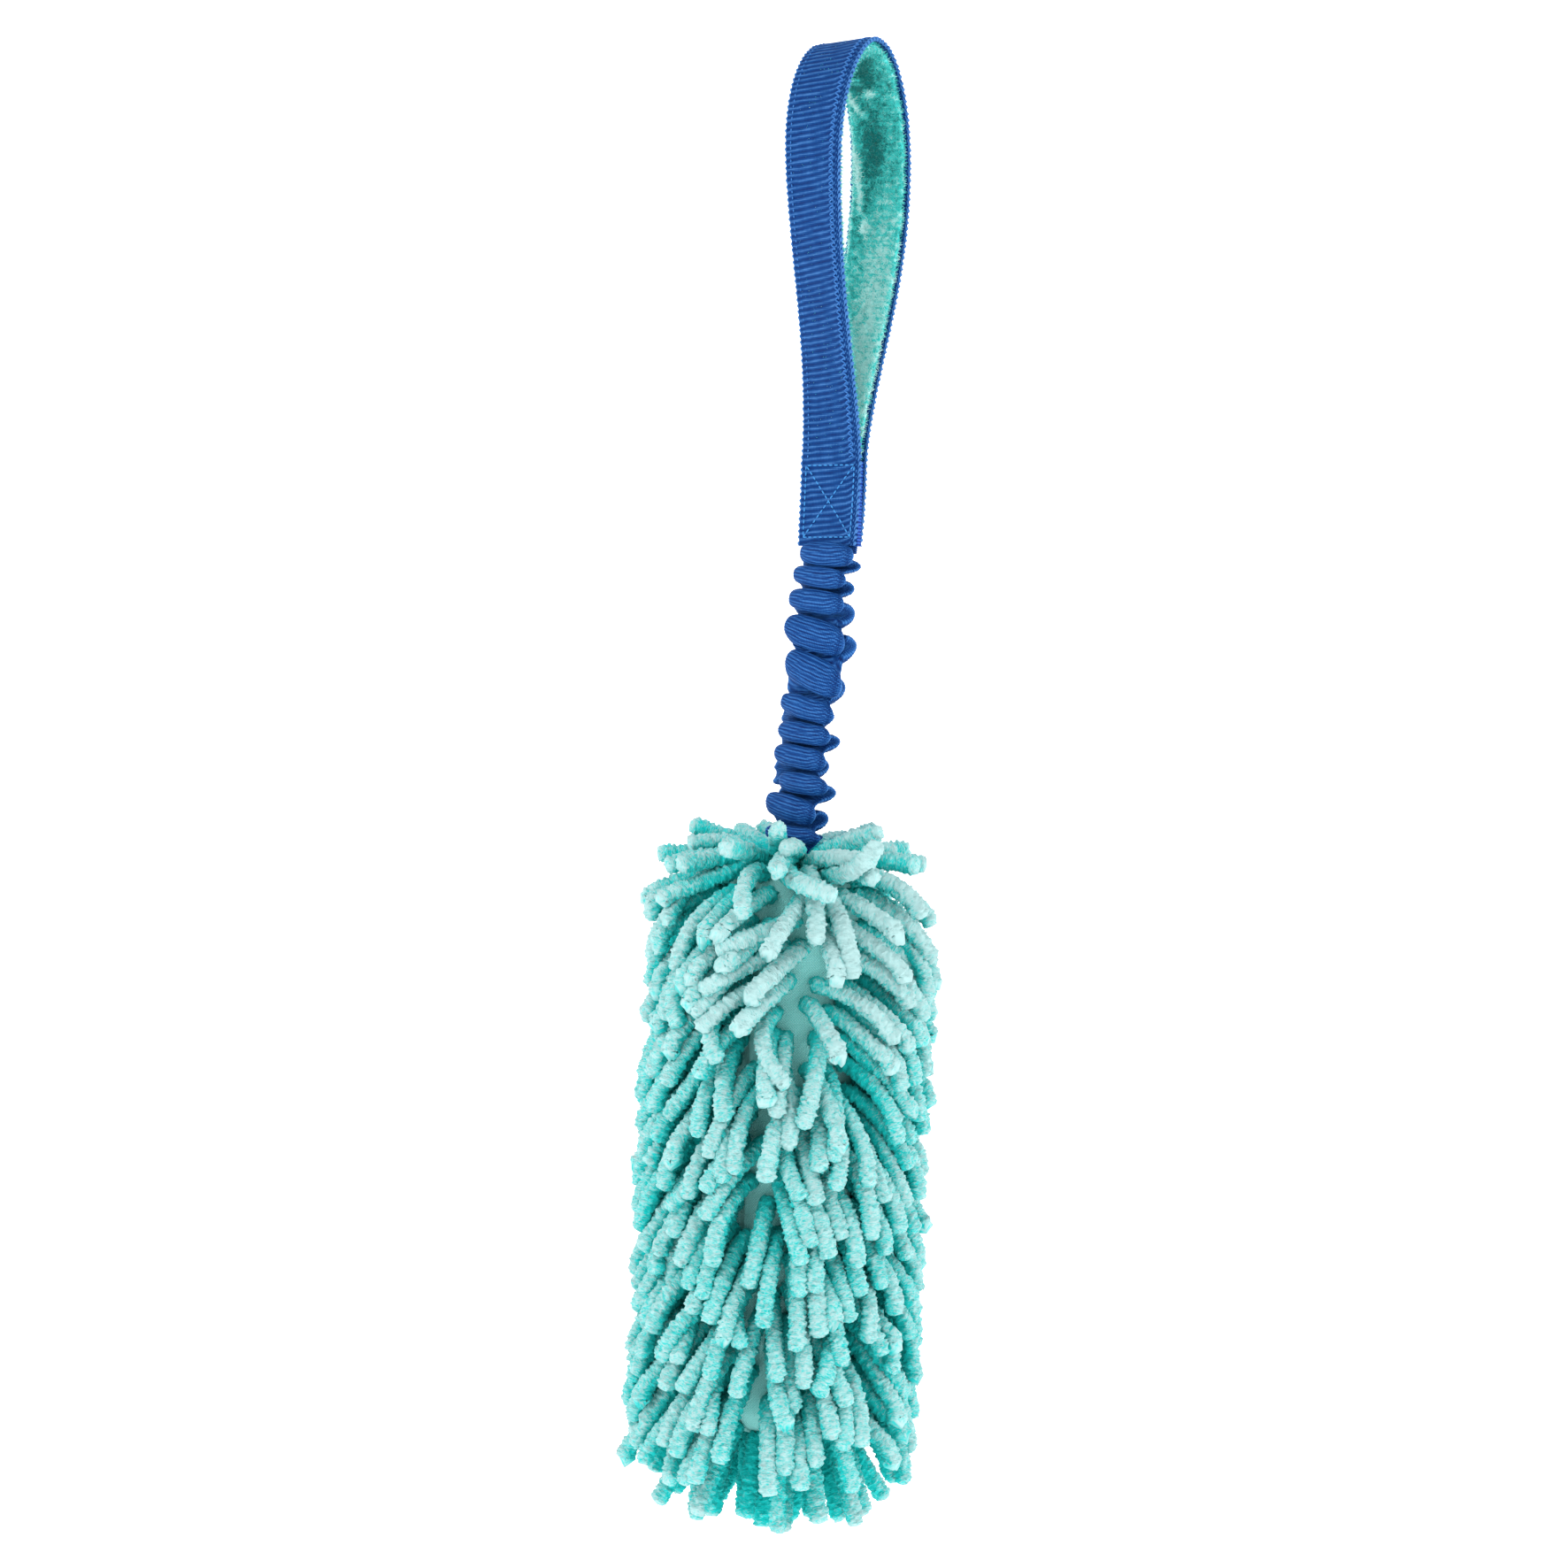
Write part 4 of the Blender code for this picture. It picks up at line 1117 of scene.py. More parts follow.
@dataclass
class BungeeSleeve:
    """The gathered sleeve, its funnel into the mop and the elastic inside it."""

    width: float = 24.0 * MM
    thickness: float = 4.0 * MM
    fold_depth: float = 13.4 * MM
    crest_shares: tuple[float, ...] = (
        0.030, 0.066, 0.094, 0.148, 0.172, 0.240, 0.290, 0.368, 0.424, 0.506, 0.550,
        0.594, 0.636, 0.676, 0.714, 0.764, 0.812, 0.844, 0.892, 0.946, 0.990,
    )
    crest_shifts: tuple[float, ...] = (
        0.7, -1.6, -0.8, -1.6, -1.2, -0.3, -0.7, 2.2, 1.0, 0.0, 0.9,
        -2.8, 1.1, -0.2, 0.5, -2.5, 3.6, 0.9, -0.8, 0.5, 1.8,
    )
    crest_tilts: tuple[float, ...] = (
        0.08, -0.04, 0.11, -0.03, 0.11, -0.11, 0.29, -0.26, 0.42, -0.19, 0.24,
        -0.16, 0.13, -0.14, 0.16, -0.17, 0.12, -0.11, 0.23, -0.16, 0.10,
    )
    fullness: float = 0.94
    pass_fullness: float = 0.5
    pass_draw: float = 0.17
    lower_width_share: float = 0.93
    elastic_width: float = 10.0 * MM
    elastic_thickness: float = 0.8 * MM
    rib_pitch: float = 0.84 * MM
    rib_height: float = 0.3 * MM
    selvedge: float = 4.5 * MM
    root_drop: float = 2.2 * MM
    root_rise: float = 1.2 * MM
    neck_end_share: float = 0.36
    neck_dip: float = 3.0 * MM
    seed_number: int = 7
    top: float = 0.0
    bottom: float = 0.0
    mouth: float = 0.0
    drift: float = 0.0

    def __post_init__(self) -> None:
        """Find the sleeve's ends and sideways lean from the solids."""
        joints = {joint["name"]: joint for joint in frame["record"]["behaviour"]["joints"]}
        neck = joints["mop_swing"]["pos_m"]
        self.drift = -neck[0]
        self.mouth = neck[2]
        self.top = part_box("bungee_sleeve")[1][2]
        self.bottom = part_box("sleeve_neck")[1][2]

    def lean(self, heights: np.ndarray) -> np.ndarray:
        """How far sideways the sleeve's middle is at each height."""
        return -self.drift * np.clip((self.top - heights) / (self.top - self.mouth), 0, 1)

    def folds(self) -> Ribbon:
        """The centre line of the whole gathered length: level passes joined by round turns.

        Returns:
            The ribbon, as thick at each turn as its neighbours leave room for.
        """
        draw = np.random.default_rng(self.seed_number)
        count = len(self.crest_shares)
        crests = self.top - np.array(self.crest_shares) * (self.top - self.bottom)
        ends = 2 * self.top - crests[0], 2 * self.bottom - crests[-1]
        passes = np.concatenate(([ends[0], *crests][: count + 1], [ends[1]]))
        passes = (passes[:-1] + passes[1:]) / 2
        room = passes[:-1] - passes[1:]
        room = np.concatenate((room, [room[-1]]))[:count]
        thickness = np.maximum(self.fullness * room, 0.7 * self.thickness)
        reach = (self.fold_depth - thickness) / 2 * (1 + draw.uniform(-0.04, 0.04, count))
        way = np.where(np.arange(count) % 2 == 0, -1.0, 1.0)
        turns = np.linspace(0, math.pi, 21)
        line, place = [(0.0, passes[0])], [0.5]
        for number in range(count):
            above = passes[number]
            below = passes[number + 1] if number + 1 < len(passes) else 2 * crests[number] - above
            bulge = min((above - below) / 2, reach[number])
            depths = way[number] * (reach[number] - bulge + bulge * np.sin(turns))
            line += zip(depths, (above + below) / 2 + (above - below) / 2 * np.cos(turns))
            place += (number + 1 + 0.35 * (turns / math.pi * 2 - 1)).tolist()
        line.append((0.0, line[-1][1]))
        place.append(count + 0.5)
        spots = np.concatenate(([0.0], np.cumsum(np.linalg.norm(np.diff(line, axis=0), axis=1))))
        steps = np.arange(0.0, spots[-1], 0.4 * MM)
        line = np.stack([np.interp(steps, spots, values) for values in np.transpose(line)], axis=1)
        place = np.interp(steps, spots, place)
        for _ in range(3):
            line[1:-1] += (line[:-2] + line[2:] - 2 * line[1:-1]) / 4
        middles = np.arange(1, count + 1)
        knots = np.sort(np.concatenate((middles - 0.36, middles + 0.36)))
        tilt, shift, turn = (
            np.interp(place, knots, np.repeat(values, 2))
            for values in (self.crest_tilts, self.crest_shifts, draw.uniform(-0.14, 0.14, count))
        )
        between = np.minimum(thickness[:-1], thickness[1:]) * self.pass_fullness / self.fullness
        spans = np.concatenate((middles - 0.22, middles + 0.22, np.arange(1.5, count)))
        lumps = np.concatenate((thickness, thickness, between)) / self.thickness
        order = np.argsort(spans)
        full = np.interp(place, spans[order], np.maximum(lumps[order], 0.6))
        drawn_in = self.pass_draw * (1 - np.cos(math.tau * place)) / 2
        size = np.interp(place, (0, count / 2, count), (1.0, 1.0, self.lower_width_share)) * (1 - drawn_in)
        centres = np.column_stack((self.lean(line[:, 1]) + shift * MM - 0.36 * drawn_in * self.width, line))
        ribbon = self.dressed(centres, np.stack((np.ones_like(tilt), turn, -tilt), axis=1) * size[:, None])
        ribbon.thick *= full[:, None]
        return ribbon

    def dressed(self, centres: np.ndarray, wide: np.ndarray) -> Ribbon:
        """Add the thickness directions to a centre line."""
        along = np.gradient(centres, axis=0)
        thick = np.cross(along, wide)
        thick /= np.linalg.norm(thick, axis=1, keepdims=True)
        return Ribbon(centres, wide, thick)

    def build_folds(self, weave: StripRecipe) -> None:
        """Make the gathered sleeve and the elastic band inside it."""
        line = self.folds()
        sleeve = weave.make(
            "gathered_sleeve",
            line.seed("sleeve_line"),
            SLEEVE,
            step=0.24 * MM,
            width=self.width,
            thickness=self.thickness,
            squareness=0.84,
            sides=64,
            rib_pitch=self.rib_pitch,
            rib_height=self.rib_height,
            rib_sharpness=1.6,
            rib_bow=5.0,
            rib_droop=700.0,
            rib_waver=1.2,
            bead=0.6,
            selvedge_left=1.0 * MM,
            selvedge_right=self.selvedge,
            selvedge_blend=2.0 * MM,
            lump_size=6.0 * MM,
            lump_height=1.0 * MM,
        )
        band = weave.make(
            "elastic_core",
            line.seed("elastic_line"),
            ELASTIC,
            step=0.8 * MM,
            width=self.elastic_width,
            thickness=self.elastic_thickness,
            sides=16,
            rib_pitch=1.6 * MM,
            rib_height=0.1 * MM,
        )
        pieces = (sleeve, Slot.WEBBING, "bungee_sleeve"), (band, Slot.ELASTIC, "elastic_band")
        for piece, slot, node in pieces:
            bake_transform(piece)
            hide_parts(node)
            LOG.info("%s: %d faces between bungee and neck", piece.name, len(piece.data.polygons))

    def build_root(self, weave: StripRecipe) -> None:
        """Make the short length between the stitched joint and the first fold."""
        heights = np.linspace(self.top + self.root_rise, self.top - self.root_drop, 24)
        centres = np.stack((self.lean(heights) - 0.4 * MM, np.zeros_like(heights), heights), axis=1)
        wide = np.repeat([[1.0, 0.0, 0.0]], len(heights), axis=0)
        root = weave.make(
            "sleeve_root",
            self.dressed(centres, wide).seed("root_line"),
            SLEEVE,
            step=0.24 * MM,
            width=self.width - 1.2 * MM,
            thickness=self.thickness * 0.8,
            squareness=0.6,
            sides=64,
            rib_pitch=self.rib_pitch,
            rib_height=self.rib_height,
            selvedge_right=self.selvedge,
        )
        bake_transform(root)

    def build_neck(self, weave: StripRecipe) -> None:
        """Make the funnel, gathered from the sleeve's full width down to the mop's mouth."""
        start = self.bottom + 2.4 * MM
        heights = np.linspace(start, self.mouth - self.neck_dip, 60)
        share = np.clip((start - heights) / (start - self.mouth), 0, 1)
        narrow = 1 - (1 - self.neck_end_share) * share**0.85
        ripple = 0.7 * MM * np.sin(share * 3 * math.pi) * (1 - share)
        centres = np.stack((self.lean(heights), ripple, heights), axis=1)
        wide = np.stack((narrow, 0 * narrow, -0.12 * (1 - share)), axis=1)
        line = self.dressed(centres, wide)
        line.thick *= (1.15 - 0.25 * share)[:, None]
        neck = weave.make(
            "sleeve_funnel",
            line.seed("neck_line"),
            SLEEVE,
            step=0.24 * MM,
            width=self.width,
            thickness=self.thickness,
            squareness=0.75,
            sides=64,
            rib_pitch=self.rib_pitch,
            rib_height=self.rib_height,
            rib_bow=16.0,
            selvedge_right=self.selvedge,
            lump_height=1.0 * MM,
        )
        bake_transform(neck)
        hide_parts("sleeve_neck")

    def build(self, weave: StripRecipe) -> None:
        """Make the whole sleeve."""
        self.build_root(weave)
        self.build_folds(weave)
        self.build_neck(weave)


class NoodleRecipe(Recipe):
    """Chenille noodles: a fat round strand along each line, with a blunt tip and tufted pile."""

    def __init__(self) -> None:
        """Name the noodles' sizes."""
        sizes = {
            "Step": 0.62 * MM,
            "Radius": 3.3 * MM,
            "Sides": 18,
            "Tuft Length": 1.25 * MM,
            "Tuft Width": 1.6 * MM,
            "Tuft Height": 1.2 * MM,
            "Fuzz": 0.5 * MM,
            "Axis X": 0.0,
            "Cover Top": 0.0,
            "Cover Base": 0.0,
            "Cover Radius": 26.0 * MM,
            "Reach": 52.0 * MM,
        }
        super().__init__("chenille_noodles", sizes)

    def outline(self, factor: object, length: object) -> bpy.types.NodeSocket:
        """How thick a noodle is along its length: rounded at both ends and fuller at the tip.

        Args:
            factor: The share of the length reached.
            length: The length reached.

        Returns:
            The share of the full radius.
        """
        whole = self.maths("DIVIDE", length, self.maths("MAXIMUM", factor, 0.001))
        left = self.maths("SUBTRACT", whole, length)
        ends = []
        for distance in (left, self.maths("ADD", length, 0.6 * MM)):
            short = self.maths("DIVIDE", distance, self.size("Radius"))
            gone = self.maths("SUBTRACT", 1.0, self.maths("MINIMUM", short, 1.0))
            round_off = self.maths("SUBTRACT", 1.0, self.maths("POWER", gone, 2.1))
            ends.append(self.maths("POWER", self.maths("MAXIMUM", round_off, 0.0), 0.5))
        bulge = self.maths("MULTIPLY_ADD", self.step(factor, 0.72, 0.93), 0.07, 1.0)
        return self.maths("MULTIPLY", self.maths("MULTIPLY", ends[0], ends[1]), bulge)

    def outwards(self) -> tuple[bpy.types.NodeSocket, bpy.types.NodeSocket]:
        """How far out from the cover's middle each point is.

        Returns:
            The direction out and the distance.
        """
        place = self.add("GeometryNodeInputPosition").outputs[0]
        height = self.add("ShaderNodeSeparateXYZ", {0: place}).outputs[2]
        inside = self.maths("MAXIMUM", height, self.size("Cover Base"))
        inside = self.maths("MINIMUM", inside, self.size("Cover Top"))
        middle = self.add("ShaderNodeCombineXYZ", {0: self.size("Axis X"), 2: inside}).outputs[0]
        away = self.vectors("SUBTRACT", place, middle)
        distance = self.add("ShaderNodeVectorMath", {0: away}, operation="LENGTH").outputs["Value"]
        above = self.maths("MAXIMUM", self.maths("SUBTRACT", height, self.size("Cover Top")), 0.0)
        return self.vectors("NORMALIZE", away), self.maths("ADD", distance, above)

    def build(self, geometry: bpy.types.NodeSocket) -> None:
        """Sweep the strands, raise the tufts and paint shade by how deep each point lies and which way it
        faces.
        """
        curve = self.add("GeometryNodeMeshToCurve", {0: geometry}).outputs[0]
        curve = self.add("GeometryNodeCurveSplineType", {"Curve": curve}, spline_type="CATMULL_ROM")
        curve = curve.outputs[0]
        inputs = {"Curve": curve, "Length": self.size("Step")}
        curve = self.add("GeometryNodeResampleCurve", inputs, mode="LENGTH").outputs[0]
        spline = self.add("GeometryNodeSplineParameter")
        curve = self.store(curve, "along", spline.outputs["Length"])
        curve = self.store(curve, "reached", spline.outputs["Factor"])
        curve = self.store(curve, "girth", self.outline(spline.outputs["Factor"], spline.outputs["Length"]))
        inputs = {"Resolution": self.size("Sides"), "Radius": 1.0}
        circle = self.add("GeometryNodeCurvePrimitiveCircle", inputs)
        place = self.add("GeometryNodeInputPosition").outputs[0]
        section = self.store(circle.outputs[0], "section", place, "FLOAT_VECTOR")
        radius = self.maths("MULTIPLY", self.named("girth"), self.named("plump"))
        radius = self.maths("MULTIPLY", radius, self.size("Radius"))
        curve = self.add("GeometryNodeSetCurveRadius", {"Curve": curve, "Radius": radius}).outputs[0]
        inputs = {"Curve": curve, "Profile Curve": section, "Fill Caps": True}
        sweep = self.add("GeometryNodeCurveToMesh", inputs)
        if "Scale" in sweep.inputs:
            self.feed(sweep.inputs["Scale"], radius)
        round_about = self.vectors("SCALE", self.named("section", "FLOAT_VECTOR"), self.size("Radius"))
        turned = self.add("ShaderNodeSeparateXYZ", {0: round_about})
        tuft = self.maths("DIVIDE", 1.0, self.size("Tuft Width"))
        rows = self.maths("DIVIDE", self.named("along"), self.size("Tuft Length"))
        spot = {axis: self.maths("MULTIPLY", turned.outputs[axis], tuft) for axis in (0, 1)} | {2: rows}
        spot = self.add("ShaderNodeCombineXYZ", spot).outputs[0]
        spot = self.vectors("ADD", spot, self.named("own_place", "FLOAT_VECTOR"))
        pile = self.step(self.noise(spot, 1.0, 1.5), 0.28, 0.72)
        mesh = self.store(sweep.outputs[0], "pile", pile)
        lift = self.maths("SUBTRACT", self.named("pile"), 0.6)
        lift = self.maths("MULTIPLY", lift, self.size("Tuft Height"))
        loose = self.add("FunctionNodeRandomValue", data_type="FLOAT")
        self.feed(loose.inputs[2], -1.0)
        self.feed(loose.inputs[3], 1.0)
        lift = self.maths("MULTIPLY_ADD", loose.outputs[1], self.size("Fuzz"), lift)
        ends = self.maths("MINIMUM", self.maths("MULTIPLY", self.named("girth"), 1.2), 1.0)
        lift = self.maths("MULTIPLY", lift, ends)
        normal = self.add("GeometryNodeInputNormal").outputs[0]
        mesh = self.store(mesh, "leaf", normal, "FLOAT_VECTOR")
        mesh = self.move(mesh, offset=self.vectors("SCALE", self.named("leaf", "FLOAT_VECTOR"), lift))
        # Painted light and shade: a point is painted paler where it faces out from the cover, sits on a
        # raised tuft and lies far out, and darker teal on inward sides, in the dips and near the cover, where
        # shade falls between noodles; the tone attribute adds each noodle's random tone and painted light.
        way, distance = self.outwards()
        leaf = self.named("leaf", "FLOAT_VECTOR")
        facing = self.add("ShaderNodeVectorMath", {0: leaf, 1: way}, operation="DOT_PRODUCT").outputs["Value"]
        facing = self.step(facing, -0.5, 0.8)
        reach = self.add(
            "ShaderNodeMapRange",
            {"Value": distance, "From Min": self.size("Cover Radius"), "From Max": self.size("Reach")},
        ).outputs[0]
        shade = self.maths("MULTIPLY_ADD", facing, 0.34, self.maths("MULTIPLY", self.named("pile"), 0.2))
        shade = self.maths("MULTIPLY_ADD", reach, 0.4, shade)
        shade = self.maths("ADD", shade, self.named("tint"))
        self.close(self.store(mesh, "ridge", shade))


@dataclass
class Strands:
    """All noodles of the cover as chains of points, which settle over a set number of rounds, pushed apart
    where they crowd.
    """

    points: np.ndarray
    spacing: np.ndarray
    clearance: float = 6.2 * MM
    shape_keeping: float = 0.08
    stiffness: float = 0.75
    rounds: int = 44

    def push_apart(self) -> None:
        """Move crowded points away from each other."""
        count, size = self.points.shape[:2]
        flat = self.points.reshape(-1, 3)
        owner = np.repeat(np.arange(count), size)
        squares = (flat**2).sum(axis=1)
        gaps = squares[:, None] + squares[None, :] - 2 * flat @ flat.T
        first, second = np.nonzero(gaps < self.clearance**2)
        apart = (owner[first] != owner[second]) & (first < second)
        first, second = first[apart], second[apart]
        away = flat[first] - flat[second]
        distance = np.linalg.norm(away, axis=1, keepdims=True) + 1e-9
        shift = away / distance * (self.clearance - distance) * 0.4
        moved = np.zeros_like(flat)
        np.add.at(moved, first, shift)
        np.add.at(moved, second, -shift)
        size_limit = self.clearance / 3
        length = np.linalg.norm(moved, axis=1, keepdims=True) + 1e-9
        flat += moved * np.minimum(1.0, size_limit / length)
        self.points = flat.reshape(count, size, 3)

    def hold_length(self, roots: np.ndarray) -> None:
        """Put the roots back and give each link its length again."""
        self.points[:, :2] = roots
        for number in range(1, self.points.shape[1] - 1):
            link = self.points[:, number + 1] - self.points[:, number]
            length = np.linalg.norm(link, axis=1, keepdims=True) + 1e-9
            self.points[:, number + 1] = self.points[:, number] + link / length * self.spacing[:, None]

    def straighten(self, share: float) -> None:
        """Draw each chain towards the gentle bend that fits it best, as a stiff noodle has.

        Args:
            share: How much of the way it goes.
        """
        steps = np.linspace(0.0, 1.0, self.points.shape[1])
        bends = np.stack((steps, steps**2, 1 - np.exp(-steps / 0.07)), axis=1)
        fitted = bends @ np.linalg.pinv(bends)
        roots = self.points[:, :1]
        gentle = roots + np.einsum("ij,njk->nik", fitted, self.points - roots)
        self.points += (gentle - self.points) * share

    def settle(self, keep_out: object) -> np.ndarray:
        """Run the rounds.

        Args:
            keep_out: A function that moves points out of what they may not enter.

        Returns:
            The settled points.
        """
        first = self.points.copy()
        roots = first[:, :2].copy()
        for _ in range(self.rounds):
            self.push_apart()
            self.points += (first - self.points) * self.shape_keeping
            self.points[:, 2:] = keep_out(self.points[:, 2:])
            self.straighten(self.stiffness)
            self.hold_length(roots)
        return self.points


@dataclass
class MopHead:
    """The stuffed cover: a knitted tube with noodles all over, and its filling."""

    cover_radius: float = 26.2 * MM
    cover_wall: float = 1.2 * MM
    mouth_radius: float = 9.0 * MM
    crown_height: float = 17.0 * MM
    side_length: float = 188.0 * MM
    base_height: float = 11.0 * MM
    shoulder_shares: tuple = ((0.0, 0.0), (0.436, 0.147), (0.785, 0.470), (1.0, 1.0))
    base_shares: tuple = ((1.0, 0.0), (0.835, 0.44), (0.52, 0.82), (0.0, 1.0))
    noodle_radius: float = 3.25 * MM
    noodle_length: float = 43.0 * MM
    bands: int = 4
    rows_in_band: float = 4.5
    row_count: int = 18
    row_noodles: int = 21
    links: int = 10
    reach: float = 55.5 * MM
    # How much paler each group is painted, lifting its painted shade; on the crown this is painted light from
    # above.
    paler: tuple[tuple[str, float], ...] = (("crown", 0.1), ("band_1_upper", 0.05), ("base", 0.06))
    crown_rings: tuple = (
        (11.0, 10, 54, 16, -14, 32.0),
        (15.5, 14, 40, 3, -12, 37.0),
        (20.0, 17, 28, -12, -10, 42.0),
        (24.5, 20, 10, -24, -10, 45.0),
    )
    base_rings: tuple = ((22.0, 13, -30, -66), (15.0, 9, -55, -78), (8.0, 6, -75, -85), (2.5, 2, -90, -88))
    top_shift: float = 1.5 * MM
    base_shift: float = -1.0 * MM
    parting: tuple = ((math.radians(61), 2.0 * MM), (math.radians(37), 29.0 * MM))
    parting_width: float = math.radians(48)
    parting_height: float = 11.0 * MM
    parting_turn: float = math.radians(60)
    parting_slope: float = -20.0
    parting_below: float = 0.0
    # Noodles beside the parting are painted paler: painted light where they lie on top, unshadowed.
    parting_paler: float = 0.2
    bare_radius: float = 1.2 * MM
    kinked_share: float = 0.2
    seed_number: int = 21
    axis: float = 0.0
    mouth: float = 0.0

    def __post_init__(self) -> None:
        """Find the mouth of the cover."""
        joints = {joint["name"]: joint for joint in frame["record"]["behaviour"]["joints"]}
        self.axis, _, self.mouth = joints["mop_swing"]["pos_m"]

    def outline(self) -> np.ndarray:
        """The cover's outline, as radius and height, from its mouth to the middle of its base."""
        span = self.cover_radius - self.mouth_radius
        side_top = self.mouth - self.crown_height
        side_base = side_top - self.side_length
        shoulder = np.array(self.shoulder_shares) * (span, -self.crown_height)
        shoulder += self.mouth_radius, self.mouth
        base = np.array(self.base_shares) * (self.cover_radius, -self.base_height) + (0.0, side_base)
        return np.concatenate((shoulder, base))

    def radius_at(self, heights: np.ndarray) -> np.ndarray:
        """The cover's radius at each height, and nothing above or below it."""
        outline = self.outline()[::-1]
        inside = (heights >= outline[0, 1]) & (heights <= outline[-1, 1])
        return np.where(inside, np.interp(heights, outline[:, 1], outline[:, 0]), -1.0)

    def roots(self) -> list[tuple]:
        """Where each noodle leaves the cover, and how it lies.

        Returns:
            The group, azimuth, radius, height, slope of the cover's face there, slope of the
            noodle's middle, its droop, length and sideways turn of each, angles in degrees.
        """
        draw = np.random.default_rng(self.seed_number)
        side_top = self.mouth - self.crown_height
        side_base = side_top - self.side_length
        outline = self.outline()
        found = []
        for radius, count, face, slope, droop, length in self.crown_rings:
            height = np.interp(radius * MM, outline[:4, 0], outline[:4, 1])
            for number in range(count):
                around = (number + draw.uniform(-0.28, 0.28)) / count * math.tau
                slopes = slope + draw.normal(0, 9), droop + draw.normal(0, 9)
                lie = face, *slopes, length * MM, draw.normal(0, 16)
                found.append(("crown", around, radius * MM, height, *lie))
        pitch = (self.side_length - 12 * MM) / (self.row_count - 1)
        for row in range(self.row_count):
            hang = min(1.0, row / 4)
            half = "upper" if row % self.rows_in_band < self.rows_in_band / 2 else "lower"
            group = f"band_{int(row // self.rows_in_band) + 1}_{half}"
            for number in range(self.row_noodles):
                around = (number + 0.5 * (row % 2) + draw.uniform(-0.3, 0.3)) / self.row_noodles * math.tau
                height = side_top - 6 * MM - row * pitch + draw.uniform(-2.4, 2.4) * MM
                slope = -30 - 13 * hang + draw.normal(0, 7)
                length = self.noodle_length + draw.uniform(-3.0, 3.5) * MM
                lie = 0.0, slope, -4 + draw.normal(0, 9), length, draw.normal(0, 14)
                found.append((group, around, self.cover_radius, height, *lie))
        for radius, count, face, slope in self.base_rings:
            height = np.interp(-radius * MM, -outline[4:, 0], outline[4:, 1])
            for number in range(count):
                around = (number + draw.uniform(-0.25, 0.25)) / count * math.tau
                length = (height - (side_base - 44 * MM)) + draw.uniform(-4.0, 2.0) * MM
                lie = face, slope + draw.normal(0, 5), -4 + draw.normal(0, 5), length, draw.normal(0, 12)
                found.append(("base", around, radius * MM, height, *lie))
        return found

    def parted(self, around: float, height: float) -> tuple[float, float, float]:
        """How a noodle lies that is brushed away from the parting in front.

        Args:
            around: The root's azimuth.
            height: The root's height.

        Returns:
            How strongly the parting acts there, from 0 to 1, how far the noodle turns aside, in
            radians, and the root's distance from the parting's bare line.
        """
        drop = self.mouth - self.crown_height - height
        (first, high), (last, low) = self.parting
        middle = np.interp(drop, (high, low), (first, last))
        beyond = drop - np.clip(drop, high, low)
        aside = math.remainder(around - middle, math.tau)
        near = math.exp(-((beyond / self.parting_height) ** 2))
        strength = math.exp(-((aside / self.parting_width) ** 2))
        turn = math.copysign(1 - math.exp(-((aside / 0.2) ** 2)), aside) * strength * self.parting_turn
        turn *= max(near, self.parting_below * (beyond > 0))
        return strength * near, turn, math.hypot(aside * self.cover_radius, beyond)

    def chains(self) -> tuple[list[str], Strands]:
        """Lay every noodle as it leaves the cover, before the noodles settle against each other.

        Returns:
            The group of each, and the chains.
        """
        draw = np.random.default_rng(self.seed_number + 5)
        groups, points, lengths = [], [], []
        steps = np.linspace(0.0, 1.0, self.links)
        bend = np.exp(-steps / 0.07)
        for group, around, radius, height, rise, slope, droop, length, yaw in self.roots():
            pull, turn, distance = self.parted(around, height)
            kinked, kink = draw.random() < self.kinked_share, draw.normal(0, 0.5, 3)
            if distance < self.bare_radius and group != "base":
                continue
            slope += (self.parting_slope - slope) * pull * (group != "crown")
            slopes = np.radians(slope + droop * steps**2) * (1 - bend) + math.radians(rise) * bend
            heading = around + (math.radians(yaw) * (1 - pull) + turn) * (1 - bend)
            flat = np.cos(slopes)
            way = np.column_stack((np.sin(heading) * flat, -np.cos(heading) * flat, np.sin(slopes)))
            if kinked:
                way += kink * steps[:, None] ** 2
            way /= np.linalg.norm(way, axis=1, keepdims=True)
            root = np.array((self.axis + radius * math.sin(around), -radius * math.cos(around), height))
            link = length / (self.links - 1)
            groups.append(group)
            points.append(root + np.concatenate((np.zeros((1, 3)), np.cumsum(way[:-1] * link, axis=0))))
            lengths.append(link)
        return groups, Strands(np.array(points), np.array(lengths))

    def beside_parting(self, roots: np.ndarray) -> np.ndarray:
        """How close to the parting noodles are rooted, from 0 to 1."""
        (first, high), (last, low) = self.parting
        drops = self.mouth - self.crown_height - roots[:, 2]
        around = np.arctan2(roots[:, 0] - self.axis, -roots[:, 1])
        aside = (around - np.interp(drops, (high, low), (first, last))) * self.cover_radius
        return np.exp(-((aside / (13 * MM)) ** 2) - (np.maximum(drops - low, 0) / (34 * MM)) ** 2)

